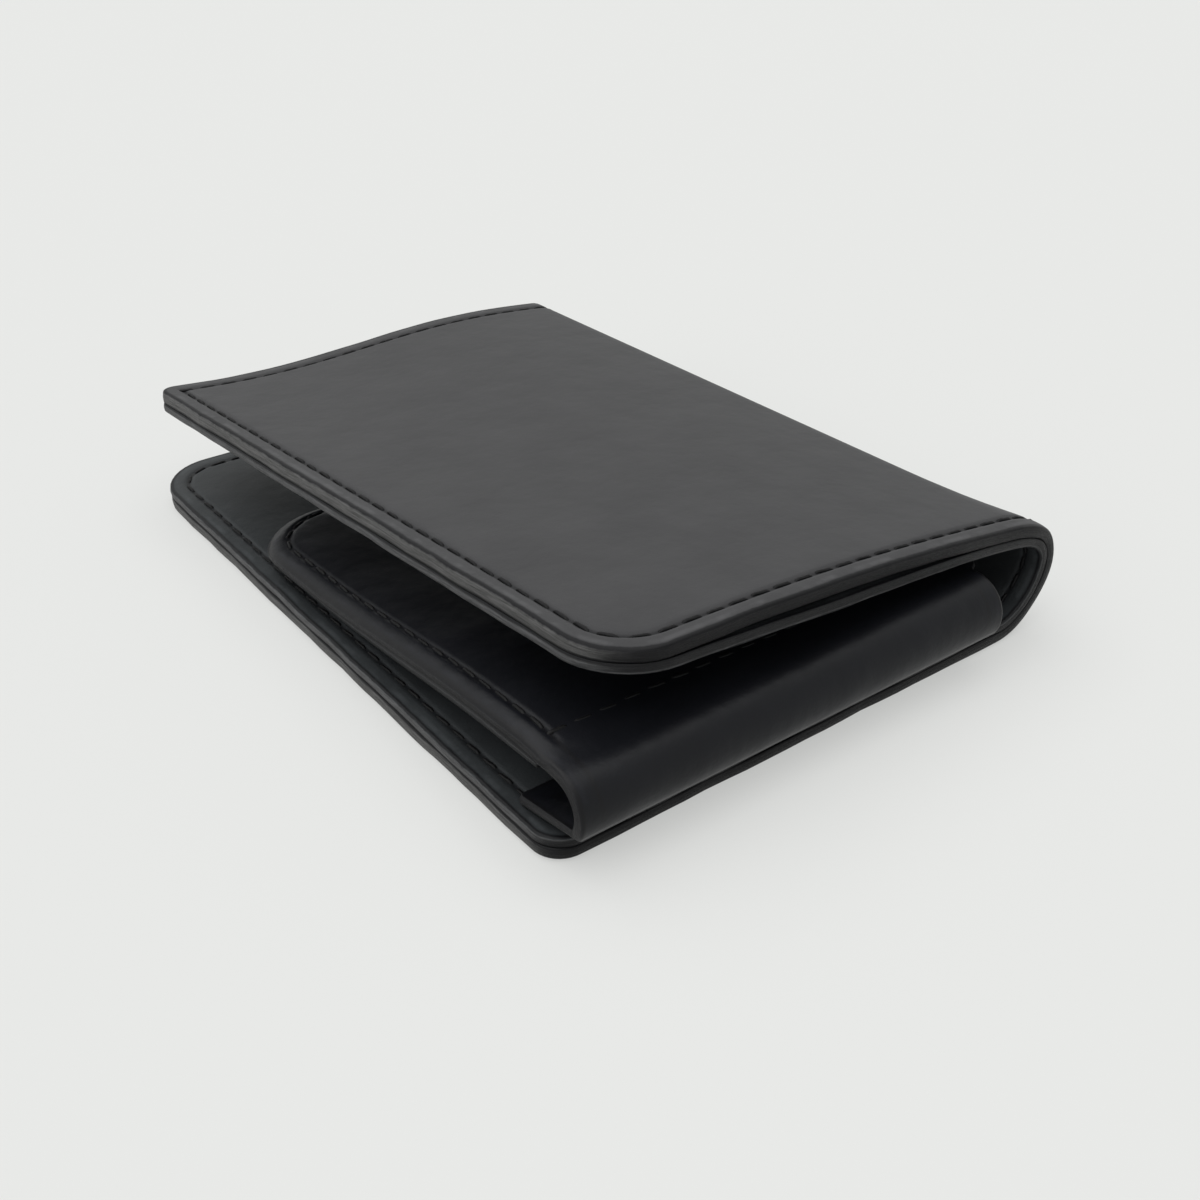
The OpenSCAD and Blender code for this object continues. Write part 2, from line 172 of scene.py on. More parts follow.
def spine_surface(theta, v):
    """Point on the outside of the spine, theta round from the table and v along it."""
    far = smooth(v / FLARE_LEN)
    worn = far * BELLY * hump(theta, BELLY_SPAN) + (1 - far) * FLARED * hump(theta, FLARED_SPAN)
    worn = worn - SHOULDER * (NEAR_SHARE + (1 - NEAR_SHARE) * far) * hump(theta, SHOULDER_SPAN)
    worn = worn - NEAR_DIP * (1 - v / COVER_LEN) * smooth(round_share(theta, DIP_SPAN))
    radius = (SPINE_R0 - v * SIN_CONE + worn)[..., None]
    foot = np.stack([FOLD_X + 0 * v, NEAR_Y + v, 0 * v], -1)
    turn = np.sin(theta)[..., None] * ACROSS + (1 - np.cos(theta))[..., None] * RISE
    return foot + radius * turn


upright = spine_surface(np.array([math.pi / 2] * 2), np.array([0.0, COVER_LEN]))
print("the spine reaches x =", upright[:, 0].round(2), "at its near and far end")

# %% [markdown]
# The front cover isn't flat in the photograph. Its near edge arches up, and its far edge dips in a
# wave, as a stiff leather does when the fold holds one end of it higher. `TIP` and `BOW` are those
# heights at the near edge, `DROP` and `WAVE` those at the far edge. The near ones were fitted to the
# photograph after the CAD was finished, and lie a little lower than its own. Wear moves the end of the
# spine, so the cover is shifted to start exactly there: even a small jump would show as a crack.

# %% The front cover's surface
TIP_NEAR, BOW_NEAR = 2.6, 1.25
DROP_FAR, WAVE_FAR = 2.5, 0.9
NEAR_SLOPE = (TIP_NEAR + math.pi * BOW_NEAR) / FRONT_W
FAR_SLOPE = (2 * math.pi * WAVE_FAR - DROP_FAR) / FRONT_W
SKEW_EASE = 4.0

heading = math.cos(FULL_TURN) * ACROSS + math.sin(FULL_TURN) * RISE
FRONT_OUT = COS_CONE * (math.sin(FULL_TURN) * ACROSS - math.cos(FULL_TURN) * RISE) + SIN_CONE * AXIS
FRONT_START, FRONT_END = spine_surface(np.array([FULL_TURN] * 2), np.array([0.0, COVER_LEN]))
FRONT_ALONG = (FRONT_END - FRONT_START) / np.linalg.norm(FRONT_END - FRONT_START)
FRONT_AWAY = np.cross(FRONT_OUT, FRONT_ALONG)
FRONT_AWAY *= np.sign(heading @ FRONT_AWAY)


def start_slope(v):
    """How much steeper the front cover leaves the spine than it stands open."""
    q = np.clip(v / COVER_LEN, 0, 1)
    return (1 - q) * NEAR_SLOPE + q * FAR_SLOPE


def bowed_cover(e, v):
    """Point on the bowed front cover, before it is fitted to the worn end of the spine."""
    q = np.clip(v / COVER_LEN, 0, 1)
    slope = start_slope(v)
    radius = SPINE_R0 - v * SIN_CONE
    t = e / FRONT_W
    near = TIP_NEAR * t + BOW_NEAR * np.sin(math.pi * t)
    far = WAVE_FAR * np.sin(2 * math.pi * t) - DROP_FAR * t
    lift = (1 - q) * near + q * far - radius * (1 - np.cos(slope)) * (1 - t)
    flat = e - radius * slope
    ease = e * e / (e + SKEW_EASE) * (FRONT_W + SKEW_EASE) / FRONT_W
    x = flat * (1 + v * math.sin(SKEW) / FRONT_W)
    y = v - math.sin(SKEW) * ease
    return (FRONT_START + x[..., None] * FRONT_AWAY + y[..., None] * FRONT_ALONG
            + lift[..., None] * FRONT_OUT)


def front_surface(e, v):
    """Point on the outside of the front cover, e away from the spine and v along it."""
    gap = spine_surface(FULL_TURN - start_slope(v), v) - bowed_cover(0 * e, v)
    return bowed_cover(e, v) + gap * (1 - e / FRONT_W)[..., None]


def hide_surface(s, v):
    """Point on the outside of the whole hide: back cover, spine or front cover."""
    turn = FULL_TURN - start_slope(v)
    back_part = np.stack([FOLD_X + s, NEAR_Y + v, 0 * s], -1)
    spine_part = spine_surface(np.clip(s / ARC_LEN, 0, 1) * turn, v)
    front_part = front_surface(np.clip(s - ARC_LEN, 0, None), v)
    return np.where((s < 0)[..., None], back_part,
                    np.where((s < ARC_LEN)[..., None], spine_part, front_part))


print("the cover leaves the spine steeper by", round(math.degrees(NEAR_SLOPE), 1),
      "degrees at the near end and", round(math.degrees(FAR_SLOPE), 1), "at the far end")

# %% [markdown]
# A layer lies at a depth `w` below that surface. The direction of the depth is the surface's normal,
# worked out from two small steps, so any surface formula can carry a leather of any thickness. Flat
# points are rows of x, y and depth, and most have their distance to the cut edge as a fourth value.

# %% Lay flat points on a surface
STEP = 0.02


def laid(surface, points):
    """Flat points laid at their depths under a surface, in millimetres."""
    x, y, depth = points[:, :3].T
    outer = surface(x, y)
    along_x = surface(x + STEP, y) - surface(x - STEP, y)
    along_y = surface(x, y + STEP) - surface(x, y - STEP)
    normal = np.cross(along_y, along_x)
    normal /= np.linalg.norm(normal, axis=-1, keepdims=True)
    return outer - normal * depth[..., None]


def shifted(flat, axis, amount):
    """A copy of flat points, moved along x (0), along y (1) or in depth (2)."""
    moved = flat.copy()
    moved[:, axis] += amount
    return moved


probe = laid(hide_surface, np.array([[-30.0, 55.0, 1.0], [50.0, 55.0, 1.0]]))
print("1 mm inside the covers, z =", probe[:, 2].round(2))

# %% [markdown]
# ## How a leather piece is drawn
# A cut leather is a rounded rectangle with a finished edge: the maker bevels its corners, rubs them
# round and presses a groove for the seam. A bevel modifier would need clean corners and would know
# nothing of the groove. Here the outline is drawn as a loop, the loop is moved inwards step by step,
# and each step has a depth: together the steps are the leather's cross-section, edge and groove
# included. The flat middle is a grid, and where loop and grid meet their points are joined.

# %% One loop of the outline, moved inwards
CORNER_STEPS = 10


def loop_points(size, radii, inset, xs, ys):
    """A rounded rectangle moved in by inset; the same number of points for any inset."""
    x0, x1, y0, y1 = size
    points = [(x, y0 + inset) for x in xs]
    corners = [(x1, y0, 1, -1, -90, radii[0]), (x1, y1, 1, 1, 0, radii[1]),
               (x0, y1, -1, 1, 90, radii[2]), (x0, y0, -1, -1, 180, radii[3])]
    sides = [[(x1 - inset, y) for y in ys], [(x, y1 - inset) for x in xs[::-1]],
             [(x0 + inset, y) for y in ys[::-1]], []]
    for (cx, cy, sx, sy, start, r), side in zip(corners, sides):
        reach, small = max(r, inset), max(r - inset, 0)
        for k in range(CORNER_STEPS + 1):
            a = math.radians(start + 90 * k / CORNER_STEPS)
            points.append((cx - sx * reach + small * math.cos(a),
                           cy - sy * reach + small * math.sin(a)))
        points += side
    return np.array(points)


print("points in one loop:", len(loop_points((0, 60, 0, 90), (9, 9, 9, 9), 1.0, [9, 51], [9, 81])))

# %% [markdown]
# The cross-section of a leather starts on its outer face, goes round its cut edge and ends on its
# inner face. Each entry is (distance in from the edge, depth). `bevel` is how far the rubbed corner
# reaches in, and a groove is pressed where the seam will lie.

# %% The cross-section of a leather
HALF_GROOVE = [(0.95, 0.0), (0.62, 0.12), (0.42, 0.6), (0.2, 0.95)]
GROOVE_SHAPE = HALF_GROOVE + [(0.0, 1.0)] + [(-off, share) for off, share in HALF_GROOVE[::-1]]
BEVEL_TURNS = np.radians([0, 20, 40, 60, 80])
BESIDE_GROOVE, CLEAR_INSIDE, CLEAR_OUTSIDE = 1.6, 1.2, 1.0


def face_steps(bevel, depth, groove, reach, sign, margin):
    """Steps of one face, from the middle of the leather out to its bevel."""
    insets = [reach, reach * 0.75, margin + BESIDE_GROOVE]
    steps = [(i, depth) for i in insets if i > margin + CLEAR_INSIDE]
    if groove:
        steps += [(margin + g, depth + sign * groove * share) for g, share in GROOVE_SHAPE]
    outside = (margin * 0.5, margin * 0.35, bevel * 1.6)
    return steps + [(i, depth) for i in outside if bevel < i < margin - CLEAR_OUTSIDE]


def leather_section(thick, bevels, grooves, reach, top=0.0, margin=SEAM_MARGIN, bulge=0.06):
    """Cross-section of one leather, from its outer face round the edge to its inner face."""
    outer_b, inner_b = bevels
    section = face_steps(outer_b, top, grooves[0], reach, 1, margin)
    for a in BEVEL_TURNS:
        section.append((outer_b * (1 - math.sin(a)), top + outer_b * (1 - math.cos(a))))
    section.append((-bulge, top + (outer_b + thick - inner_b) / 2))
    for a in BEVEL_TURNS[::-1]:
        section.append((inner_b * (1 - math.sin(a)), top + thick - inner_b * (1 - math.cos(a))))
    inner = face_steps(inner_b, top + thick, grooves[1], reach, -1, margin)
    return section + inner[::-1]


print("steps in a section:", len(leather_section(OUTER_T, (0.6, 0.2), (0.25, 0), CORNER_R)))

# %% [markdown]
# Steps, loops and grids are turned into one list of points and faces. Points that fall together are
# joined, which closes the corners where many loops shrink to one point. Every point keeps its flat
# place and depth, because the grain is drawn in those: it then runs on round every fold.

# %% Turn sections and grids into points and faces
def patch_faces(rows, cols, first, flip, skip=()):
    """Quads of a grid of points numbered row by row from first."""
    faces = []
    for i in range(rows - 1):
        for j in range(cols - 1):
            if (i, j) in skip:
                continue
            a = first + i * cols + j
            quad = (a, a + 1, a + cols + 1, a + cols)
            faces.append(quad[::-1] if flip else quad)
    return faces


def joined(points, faces):
    """Joins points that fall together and drops the faces that collapse."""
    keys = np.round(points, 4)
    _, first, index = np.unique(keys, axis=0, return_index=True, return_inverse=True)
    index = index.ravel()
    clean = []
    for face in faces:
        ring = [index[p] for p in face]
        ring = [p for k, p in enumerate(ring) if p != ring[k - 1]]
        if len(ring) > 2 and len(set(ring)) == len(ring):
            clean.append(tuple(int(p) for p in ring))
    return points[first], clean


def leather_mesh(size, radii, section, xs, ys, hole=None):
    """Flat points (x, y, depth, inset) and faces of a leather, with an optional window."""
    reach = section[0][0]
    xs, ys = sorted(set(xs)), sorted(set(ys))
    points, faces = [], []
    count = 0
    for inset, depth in section:
        loop = loop_points(size, radii, inset, xs, ys)
        points.append(np.column_stack([loop, np.full(len(loop), depth), np.full(len(loop), inset)]))
        count = len(loop)
    for k in range(len(section) - 1):
        for i in range(count):
            j = (i + 1) % count
            faces.append((k * count + i, k * count + j, (k + 1) * count + j, (k + 1) * count + i))
    grid = np.array([(x, y) for y in ys for x in xs])
    skip = hole_cells(xs, ys, hole) if hole else set()
    first = len(section) * count
    for depth, flip in ((section[0][1], True), (section[-1][1], False)):
        points.append(np.column_stack([grid, np.full(len(grid), depth), np.full(len(grid), reach)]))
        faces += patch_faces(len(ys), len(xs), first, flip, skip)
        first += len(grid)
    return joined(np.concatenate(points), faces)


def hole_cells(xs, ys, hole):
    """Grid cells that lie inside a rectangular hole."""
    x0, x1, y0, y1 = hole
    return {(i, j) for i in range(len(ys) - 1) for j in range(len(xs) - 1)
            if x0 <= xs[j] and xs[j + 1] <= x1 and y0 <= ys[i] and ys[i + 1] <= y1}


def spaced(start, end, step, *also):
    """Evenly spaced places from start to end, with some places that must be among them."""
    n = max(2, round((end - start) / step) + 1)
    return sorted(set(np.linspace(start, end, n).round(4)) | {round(a, 4) for a in also})


def grid_lines(size, corner, step_x, step_y):
    """Places along x and y for the grid of a leather, which ends where its corners begin."""
    x0, x1, y0, y1 = size
    return [spaced(x0 + corner, x1 - corner, step_x), spaced(y0 + corner, y1 - corner, step_y)]


plain_size, plain_section = (0, 60, 0, 90), leather_section(OUTER_T, (0.6, 0.2), (0.25, 0), CORNER_R)
plain_leather = leather_mesh(plain_size, (CORNER_R,) * 4, plain_section,
                             *grid_lines(plain_size, CORNER_R, 3, 3))
print("a plain leather has", len(plain_leather[0]), "points and", len(plain_leather[1]), "faces")

# %% [markdown]
# The flat points are laid on their surface and become a Blender mesh. A hide that crosses the spine is
# cut into parts that follow different bodies, as a tailor cuts cloth. The normals are taken from the
# whole hide before the cut, so the cuts can't be seen, and each part is closed at its cuts.

# %% Make Blender meshes
GRAIN_ATTRIBUTE = "hide_mm"
EDGE_ATTRIBUTE = "edge_mm"


def smooth_mesh(name, coords, faces):
    """A smooth mesh in metres, from points in millimetres."""
    mesh = bpy.data.meshes.new(name)
    mesh.from_pydata((coords * MM).tolist(), [], faces)
    mesh.shade_smooth()
    return mesh


def mesh_object(name, coords, faces, flat, normals=None):
    """A smooth mesh object; flat holds each point's flat place and its inset."""
    mesh = smooth_mesh(name, coords, faces)
    grain = mesh.attributes.new(GRAIN_ATTRIBUTE, "FLOAT_VECTOR", "POINT")
    grain.data.foreach_set("vector", flat[:, :3].astype(np.float32).ravel())
    edge = mesh.attributes.new(EDGE_ATTRIBUTE, "FLOAT", "POINT")
    edge.data.foreach_set("value", flat[:, 3].astype(np.float32))
    if normals is not None:
        mesh.normals_split_custom_set(normals)
    return new_object(name, mesh)


def open_loops(faces):
    """Loops of edges that only one face uses, in the order that closes them."""
    sides = {}
    for face in faces:
        for k, p in enumerate(face):
            sides[(face[k - 1], p)] = True
    following = {b: a for a, b in sides if (b, a) not in sides}
    loops = []
    while following:
        start, ring = next(iter(following)), []
        p = start
        while p in following:
            ring.append(p)
            p = following.pop(p)
        if len(ring) > 2:
            loops.append(tuple(ring))
    return loops


def cut_into_parts(name, coords, faces, flat, cuts, part_names):
    """Cuts a laid hide at places along s, keeps the whole hide's normals, and closes each part."""
    whole = smooth_mesh(name, coords, faces)
    normals = np.array([v.vector for v in whole.vertex_normals])
    bpy.data.meshes.remove(whole)
    middle = np.array([flat[list(f), 0].mean() for f in faces])
    part_of = np.searchsorted(cuts, middle)
    parts = []
    for k, part in enumerate(part_names):
        chosen = [faces[i] for i in np.flatnonzero(part_of == k)]
        caps = open_loops(chosen)
        used = sorted({p for f in chosen for p in f})
        place = {p: i for i, p in enumerate(used)}
        local = [tuple(place[p] for p in f) for f in chosen + caps]
        split = [normals[p] for f in chosen for p in f]
        for cap in caps:
            split += [face_normal(coords, cap)] * len(cap)
        parts.append(mesh_object(part, coords[used], local, flat[used], split))
    return parts


def face_normal(coords, face):
    """Newell's normal of a face of any number of points."""
    p = coords[list(face)]
    n = np.cross(p, np.roll(p, -1, axis=0)).sum(0)
    return n / (np.linalg.norm(n) or 1.0)


print("loops left open by one square:", open_loops([(0, 1, 2, 3)]))

# %% [markdown]
# ## The leathers of the covers
# The covers are two leathers glued and sewn together. Each layer is drawn once for both covers and the
# spine, then cut where the spine begins, in its middle and where it ends. The back cover and the front
# cover are stiff and ride on their bodies. The two bends are left where they are laid.

# %% How the four parts of a hide move
AXIS_POINT = np.array([FOLD_X, NEAR_Y + SPINE_R0 * SIN_CONE, SPINE_R0 * COS_CONE])
BEND_REACH = 2.2


def bend_line(sideways):
    """Start and end of a blend across one crease of the spine, in metres."""
    way = (sideways * ACROSS + RISE) / math.sqrt(2)
    return [tuple((AXIS_POINT + k * BEND_REACH * way) * MM) for k in (-1, 1)]


def join_hide(parts, leathers, material):
    """Puts the back and front parts of a layer on their bodies, leaves the two spine parts where they
    are laid, and gives them their material.
    """
    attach(parts[0], "back")
    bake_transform(parts[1])
    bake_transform(parts[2])
    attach(parts[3], "front")
    for part, node in zip(parts, leathers):
        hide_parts(node)
        part.data.materials.append(MATERIALS[material])


print("crease lines", [tuple(round(c, 4) for c in p) for p in bend_line(1) + bend_line(-1)])

# %% Materials, made first and finished later
MATERIALS = {name: bpy.data.materials.new(name) for name in (
    "cover_leather", "lining_leather", "flap_leather", "waxed_thread", "clear_film", "grey_board",
    "studio_floor")}
for material in MATERIALS.values():
    material.use_nodes = True


def laid_piece(name, surface, moved, faces, flat, material):
    """Lays shaped points on a surface as one mesh; flat keeps the place of each point's grain."""
    piece = mesh_object(name, laid(surface, moved), faces, flat)
    piece.data.materials.append(MATERIALS[material])
    return piece


print("materials:", ", ".join(MATERIALS))

# %% The hide's flat grid
HIDE = (-BACK_W, ARC_LEN + FRONT_W, 0.0, COVER_LEN)
HIDE_CUTS = [0.0, ARC_LEN / 2, ARC_LEN]
HIDE_CORNERS = (CORNER_R, FAR_TIGHT_R, CORNER_R, TIGHT_R)
hide_xs = spaced(HIDE[0] + CORNER_R, 0, 3.2) + spaced(0, ARC_LEN, 0.8, ARC_LEN / 2)
hide_xs += spaced(ARC_LEN, HIDE[1] - CORNER_R, 2.2)
hide_ys = spaced(CORNER_R, COVER_LEN - CORNER_R, 3.0)
print("hide", [round(v, 1) for v in HIDE], "grid", len(set(hide_xs)), "by", len(hide_ys))

# %% Hand-trimmed edges
TRIM, TRIM_WAVES, TRIM_OFTEN, TRIM_REACH = 0.09, 6, (0.12, 0.9), 2.0
ROLL, ROLL_WIDTH, ROLL_UNTIL, ROLL_FADE = 0.3, 2.5, 12.0, 8.0


def hand_trimmed(flat, size, seed):
    """Moves the cut edge in and out a little, as trimming by hand does."""
    rng = np.random.default_rng(seed)
    x, y, inset = flat[:, 0], flat[:, 1], flat[:, 3]
    often = rng.uniform(*TRIM_OFTEN, TRIM_WAVES)
    start = rng.uniform(0, 2 * math.pi, TRIM_WAVES)
    way = rng.choice([-1, 1], TRIM_WAVES)
    waves = sum(np.sin((x + y * way[k]) * often[k] + start[k]) for k in range(TRIM_WAVES)) / 3
    shift = waves * np.clip(1 - inset / TRIM_REACH, 0, 1) * TRIM
    moved = flat.copy()
    for axis, low, high in ((0, size[0], size[1]), (1, size[2], size[3])):
        outwards = np.where(flat[:, axis] < (low + high) / 2, -1, 1)
        gap = np.minimum(flat[:, axis] - low, high - flat[:, axis])
        moved[:, axis] += outwards * shift * np.clip(2 - gap / 2, 0, 1)
    return moved


def rolled_over(flat):
    """Rounds the outer face down over the near edge, where hands have rubbed it."""
    near = np.clip((ROLL_UNTIL - flat[:, 1]) / ROLL_FADE, 0, 1)
    slope = np.clip(1 - flat[:, 3] / ROLL_WIDTH, 0, 1) ** 2
    return shifted(flat, 2, ROLL * near * slope * (1 - np.clip(flat[:, 2] / OUTER_T, 0, 1)))


print("edge waves of about", TRIM, "mm, near edge rolled over by", ROLL, "mm")

# %% Outer leather
outer_section = leather_section(OUTER_T, (0.34, 0.26), (0.3, 0.0), CORNER_R)
flat, faces = leather_mesh(HIDE, HIDE_CORNERS, outer_section, hide_xs, hide_ys)
moved = rolled_over(hand_trimmed(flat, HIDE, seed=3))
coords = laid(hide_surface, moved)
outer_parts = cut_into_parts("outer_leather", coords, faces, flat, HIDE_CUTS, [
    "back_cover_leather", "spine_leather_lower", "spine_leather_upper", "front_cover_leather"])
join_hide(outer_parts, ["back_cover", "spine_cover", "spine_cover", "front_cover"],
          "cover_leather")
print("outer leather:", len(flat), "points in", len(outer_parts), "parts")

# %% [markdown]
# The lining has the window of the back cover cut through it. The hole is first left out of the grid as
# a rectangle. Its points are then moved on to a rounded outline and joined by a bevelled wall, which
# costs less than a boolean and leaves no thin faces. At the near edge the glue has given a little, so
# the front lining hangs down from the outer leather by about a millimetre.

# %% The window hole
WINDOW_SIDE, WINDOW_NEAR, WINDOW_FAR = 17.0, 19.0, 99.0
WINDOW = (-BACK_W + WINDOW_SIDE, -WINDOW_SIDE, WINDOW_NEAR, WINDOW_FAR)
WINDOW_R, WINDOW_BEVEL, WINDOW_STEPS = 4.0, 0.35, 5
corner_lines = [round(WINDOW_R * k / WINDOW_STEPS, 3) for k in range(WINDOW_STEPS + 1)]
window_xs = [WINDOW[0] + c for c in corner_lines] + [WINDOW[1] - c for c in corner_lines]
window_ys = [WINDOW[2] + c for c in corner_lines] + [WINDOW[3] - c for c in corner_lines]


def rounded_hole(points, hole, radius, spread):
    """Moves points on a rectangle's outline to its rounded one, spread further out."""
    x0, x1, y0, y1 = hole
    cx = np.clip(points[:, 0], x0 + radius, x1 - radius)
    cy = np.clip(points[:, 1], y0 + radius, y1 - radius)
    dx, dy = points[:, 0] - cx, points[:, 1] - cy
    angle = np.where(np.abs(dx) >= radius - 1e-3, math.pi / 4 * np.abs(dy) / radius,
                     math.pi / 2 - math.pi / 4 * np.abs(dx) / radius)
    placed = points.copy()
    placed[:, 0] = cx + np.sign(dx) * np.cos(angle) * (radius + spread)
    placed[:, 1] = cy + np.sign(dy) * np.sin(angle) * (radius + spread)
    return placed


def cut_window(points, faces, hole, radius, bevel):
    """Closes a rectangular gap in both faces of a leather with a rounded, bevelled wall."""
    outer_ring, inner_ring = sorted(open_loops(faces), key=lambda ring: points[list(ring), 2].mean())
    inside = points[inner_ring[0], 2]
    twin = {tuple(points[p, :2].round(3)): p for p in inner_ring}
    rows = [list(outer_ring)]
    added = []
    count = len(points)
    for depth, spread in ((inside - bevel, 0.0), (inside - 0.3 * bevel, 0.3 * bevel)):
        row = rounded_hole(points[list(outer_ring)], hole, radius, spread)
        row[:, 2] = depth
        added.append(row)
        rows.append(list(range(count, count + len(row))))
        count += len(row)
    rows.append([twin[tuple(points[p, :2].round(3))] for p in outer_ring])
    points = points.copy()
    points[rows[0]] = rounded_hole(points[rows[0]], hole, radius, 0.0)
    points[rows[-1]] = rounded_hole(points[rows[-1]], hole, radius, bevel)
    points = np.concatenate([points] + added)
    points[rows[1] + rows[2], 3] = 0.0
    walls = []
    n = len(outer_ring)
    for upper, lower in zip(rows, rows[1:]):
        walls += [(upper[i], upper[(i + 1) % n], lower[(i + 1) % n], lower[i]) for i in range(n)]
    return points, faces + walls


print("window", round(WINDOW[1] - WINDOW[0], 1), "by", WINDOW[3] - WINDOW[2], "mm")

# %% Lining leather
SAG, SAG_LEN = 0.9, 10.0


def sagging(flat):
    """Lets the inner leathers of the front cover hang at the middle of the near edge."""
    e = np.clip((flat[:, 0] - ARC_LEN) / FRONT_W, 0, 1)
    return shifted(flat, 2, SAG * np.sin(math.pi * e) ** 2 * np.exp(-(flat[:, 1] / SAG_LEN) ** 2))


lining_section = leather_section(LINING_T, (0.24, 0.34), (0.0, 0.2), CORNER_R, top=OUTER_T)
flat, faces = leather_mesh(HIDE, HIDE_CORNERS, lining_section, hide_xs + window_xs,
                           hide_ys + window_ys, WINDOW)
flat, faces = cut_window(flat, faces, WINDOW, WINDOW_R, WINDOW_BEVEL)
moved = sagging(hand_trimmed(flat, HIDE, seed=5))
coords = laid(hide_surface, moved)
lining_parts = cut_into_parts("lining_leather", coords, faces, flat, HIDE_CUTS, [
    "back_lining_leather", "spine_lining_lower", "spine_lining_upper", "front_lining_leather"])
join_hide(lining_parts, ["back_lining", "spine_lining", "spine_lining", "front_lining"],
          "lining_leather")
print("lining:", len(flat), "points, hanging", SAG, "mm at most")

# %% [markdown]
# ## The window's clear sheet
# A stiff clear sheet lies behind the hole, its border caught under the lining. Such a sheet never stays
# quite flat, so it is domed by a quarter of a millimetre, which gives it one soft highlight.

# %% Clear sheet
FILM_T, FILM_GAP, FILM_BORDER, FILM_CORNER, FILM_DOME = 0.3, 0.05, 1.5, 5.5, 0.25
film = (WINDOW[0] - FILM_BORDER, WINDOW[1] + FILM_BORDER,
        WINDOW[2] - FILM_BORDER, WINDOW[3] + FILM_BORDER)
film_section = leather_section(FILM_T, (0.05, 0.05), (0.0, 0.0), FILM_CORNER, top=OUTER_T + FILM_GAP,
                               bulge=0.0)
flat, faces = leather_mesh(film, (FILM_CORNER,) * 4, film_section, *grid_lines(film, FILM_CORNER, 4, 4))
across = np.sin(math.pi * np.clip((flat[:, 0] - film[0]) / (film[1] - film[0]), 0, 1))
along = np.sin(math.pi * np.clip((flat[:, 1] - film[2]) / (film[3] - film[2]), 0, 1))
domed = shifted(flat, 2, FILM_DOME * np.sqrt(across * along))
clear_sheet = laid_piece("window_clear_sheet", hide_surface, domed, faces, flat, "clear_film")
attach(clear_sheet, "back")
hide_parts("back_window")
print("clear sheet", [round(v, 1) for v in film])

# %% [markdown]
# ## The card pocket
# A thinner leather is sewn inside the front cover on three sides. Its mouth faces the spine and has a
# half-round thumb notch, made by sliding the points near the mouth rather than by cutting.

# %% Card pocket
POCKET_MARGIN, NOTCH_R, NOTCH_FADE = 1.8, 9.0, 24.0
MOUTH, POCKET_IN, POCKET_CORNER, MOUTH_CORNER = 14.0, 4.6, 6.7, 0.8
POCKET = (ARC_LEN + MOUTH, ARC_LEN + FRONT_W - POCKET_IN, POCKET_IN, COVER_LEN - POCKET_IN)
POCKET_CORNERS = (POCKET_CORNER, POCKET_CORNER, MOUTH_CORNER, MOUTH_CORNER)


def notched(flat):
    """Slides the mouth of the pocket back round the thumb notch."""
    off = np.clip((flat[:, 1] - COVER_LEN / 2) / NOTCH_R, -1, 1)
    fade = np.clip(1 - (flat[:, 0] - POCKET[0]) / NOTCH_FADE, 0, 1)
    return shifted(flat, 0, NOTCH_R * np.sqrt(1 - off ** 2) * fade)


pocket_section = leather_section(POCKET_T, (0.2, 0.35), (0.0, 0.25), POCKET_CORNER, top=BACK_T,
                                 margin=POCKET_MARGIN)
notch_ys = [COVER_LEN / 2 + NOTCH_R * math.sin(math.radians(a)) for a in range(-90, 91, 10)]
pocket_xs, pocket_ys = grid_lines(POCKET, POCKET_CORNER, 2.5, 3.5)
flat, faces = leather_mesh(POCKET, POCKET_CORNERS, pocket_section, pocket_xs, pocket_ys + notch_ys)
pocket = laid_piece("card_pocket_leather", hide_surface, sagging(notched(flat)), faces, flat,
                    "flap_leather")
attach(pocket, "front")
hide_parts("front_pocket")
print("pocket:", len(flat), "points")

# %% [markdown]
# ## The inner flap and its fold
# One strip of leather is sewn to the back lining by its foot, turns up in a C past the near edge, and
# runs back as the face of the inner flap. Its flat coordinates are `x`, from the spine side, and `y`,
# from the far end of the foot. The flap is stiff, with a board in it, and rides on its body; the fold
# is left where it is laid. Stuffing makes the flap thicker near its fold on the left.

# %% The strip's surface
FOLD_REACH, FOOT, FREE_GAP, SPINE_GAP = 3.8, 7.0, 1.0, 3.0
STRAP_Y = NEAR_Y - FOLD_REACH + STRAP_R
STRAP_Z = BACK_T + STRAP_R
FLAP_T = STRAP_T + FLAP_LINING_T
FLAP_TILT = math.radians(4.3717)
FOLD_ARC = STRAP_R * (math.pi - FLAP_TILT)
FLAP_START = FOOT + FOLD_ARC
FLAP_W = BACK_W - FREE_GAP - SPINE_GAP
FLAP_RIGHT = FREE_X + FREE_GAP + FLAP_W

# A swelling's height, how far past the fold it stays full, and how long it takes to fade away.
FACE_PUFF, UNDER_PUFF = (1.55, 14, 42), (1.0, 25, 50)
PUFF_START, PUFF_SPINE_SIDE, PUFF_ADDED = 3.5, 0.45, 0.55


def swelling(x, y, puff):
    """How much the flap swells, y past its fold and more towards its free side."""
    height, full_until, length = puff
    fade = 0.5 * (1 + np.cos(math.pi * np.clip((y - full_until) / length, 0, 1)))
    rise = 1 - np.exp(-(np.clip(y, 0, None) / PUFF_START) ** 2)
    return height * fade * rise * (PUFF_SPINE_SIDE + PUFF_ADDED * np.clip(x / FLAP_W, 0, 1))


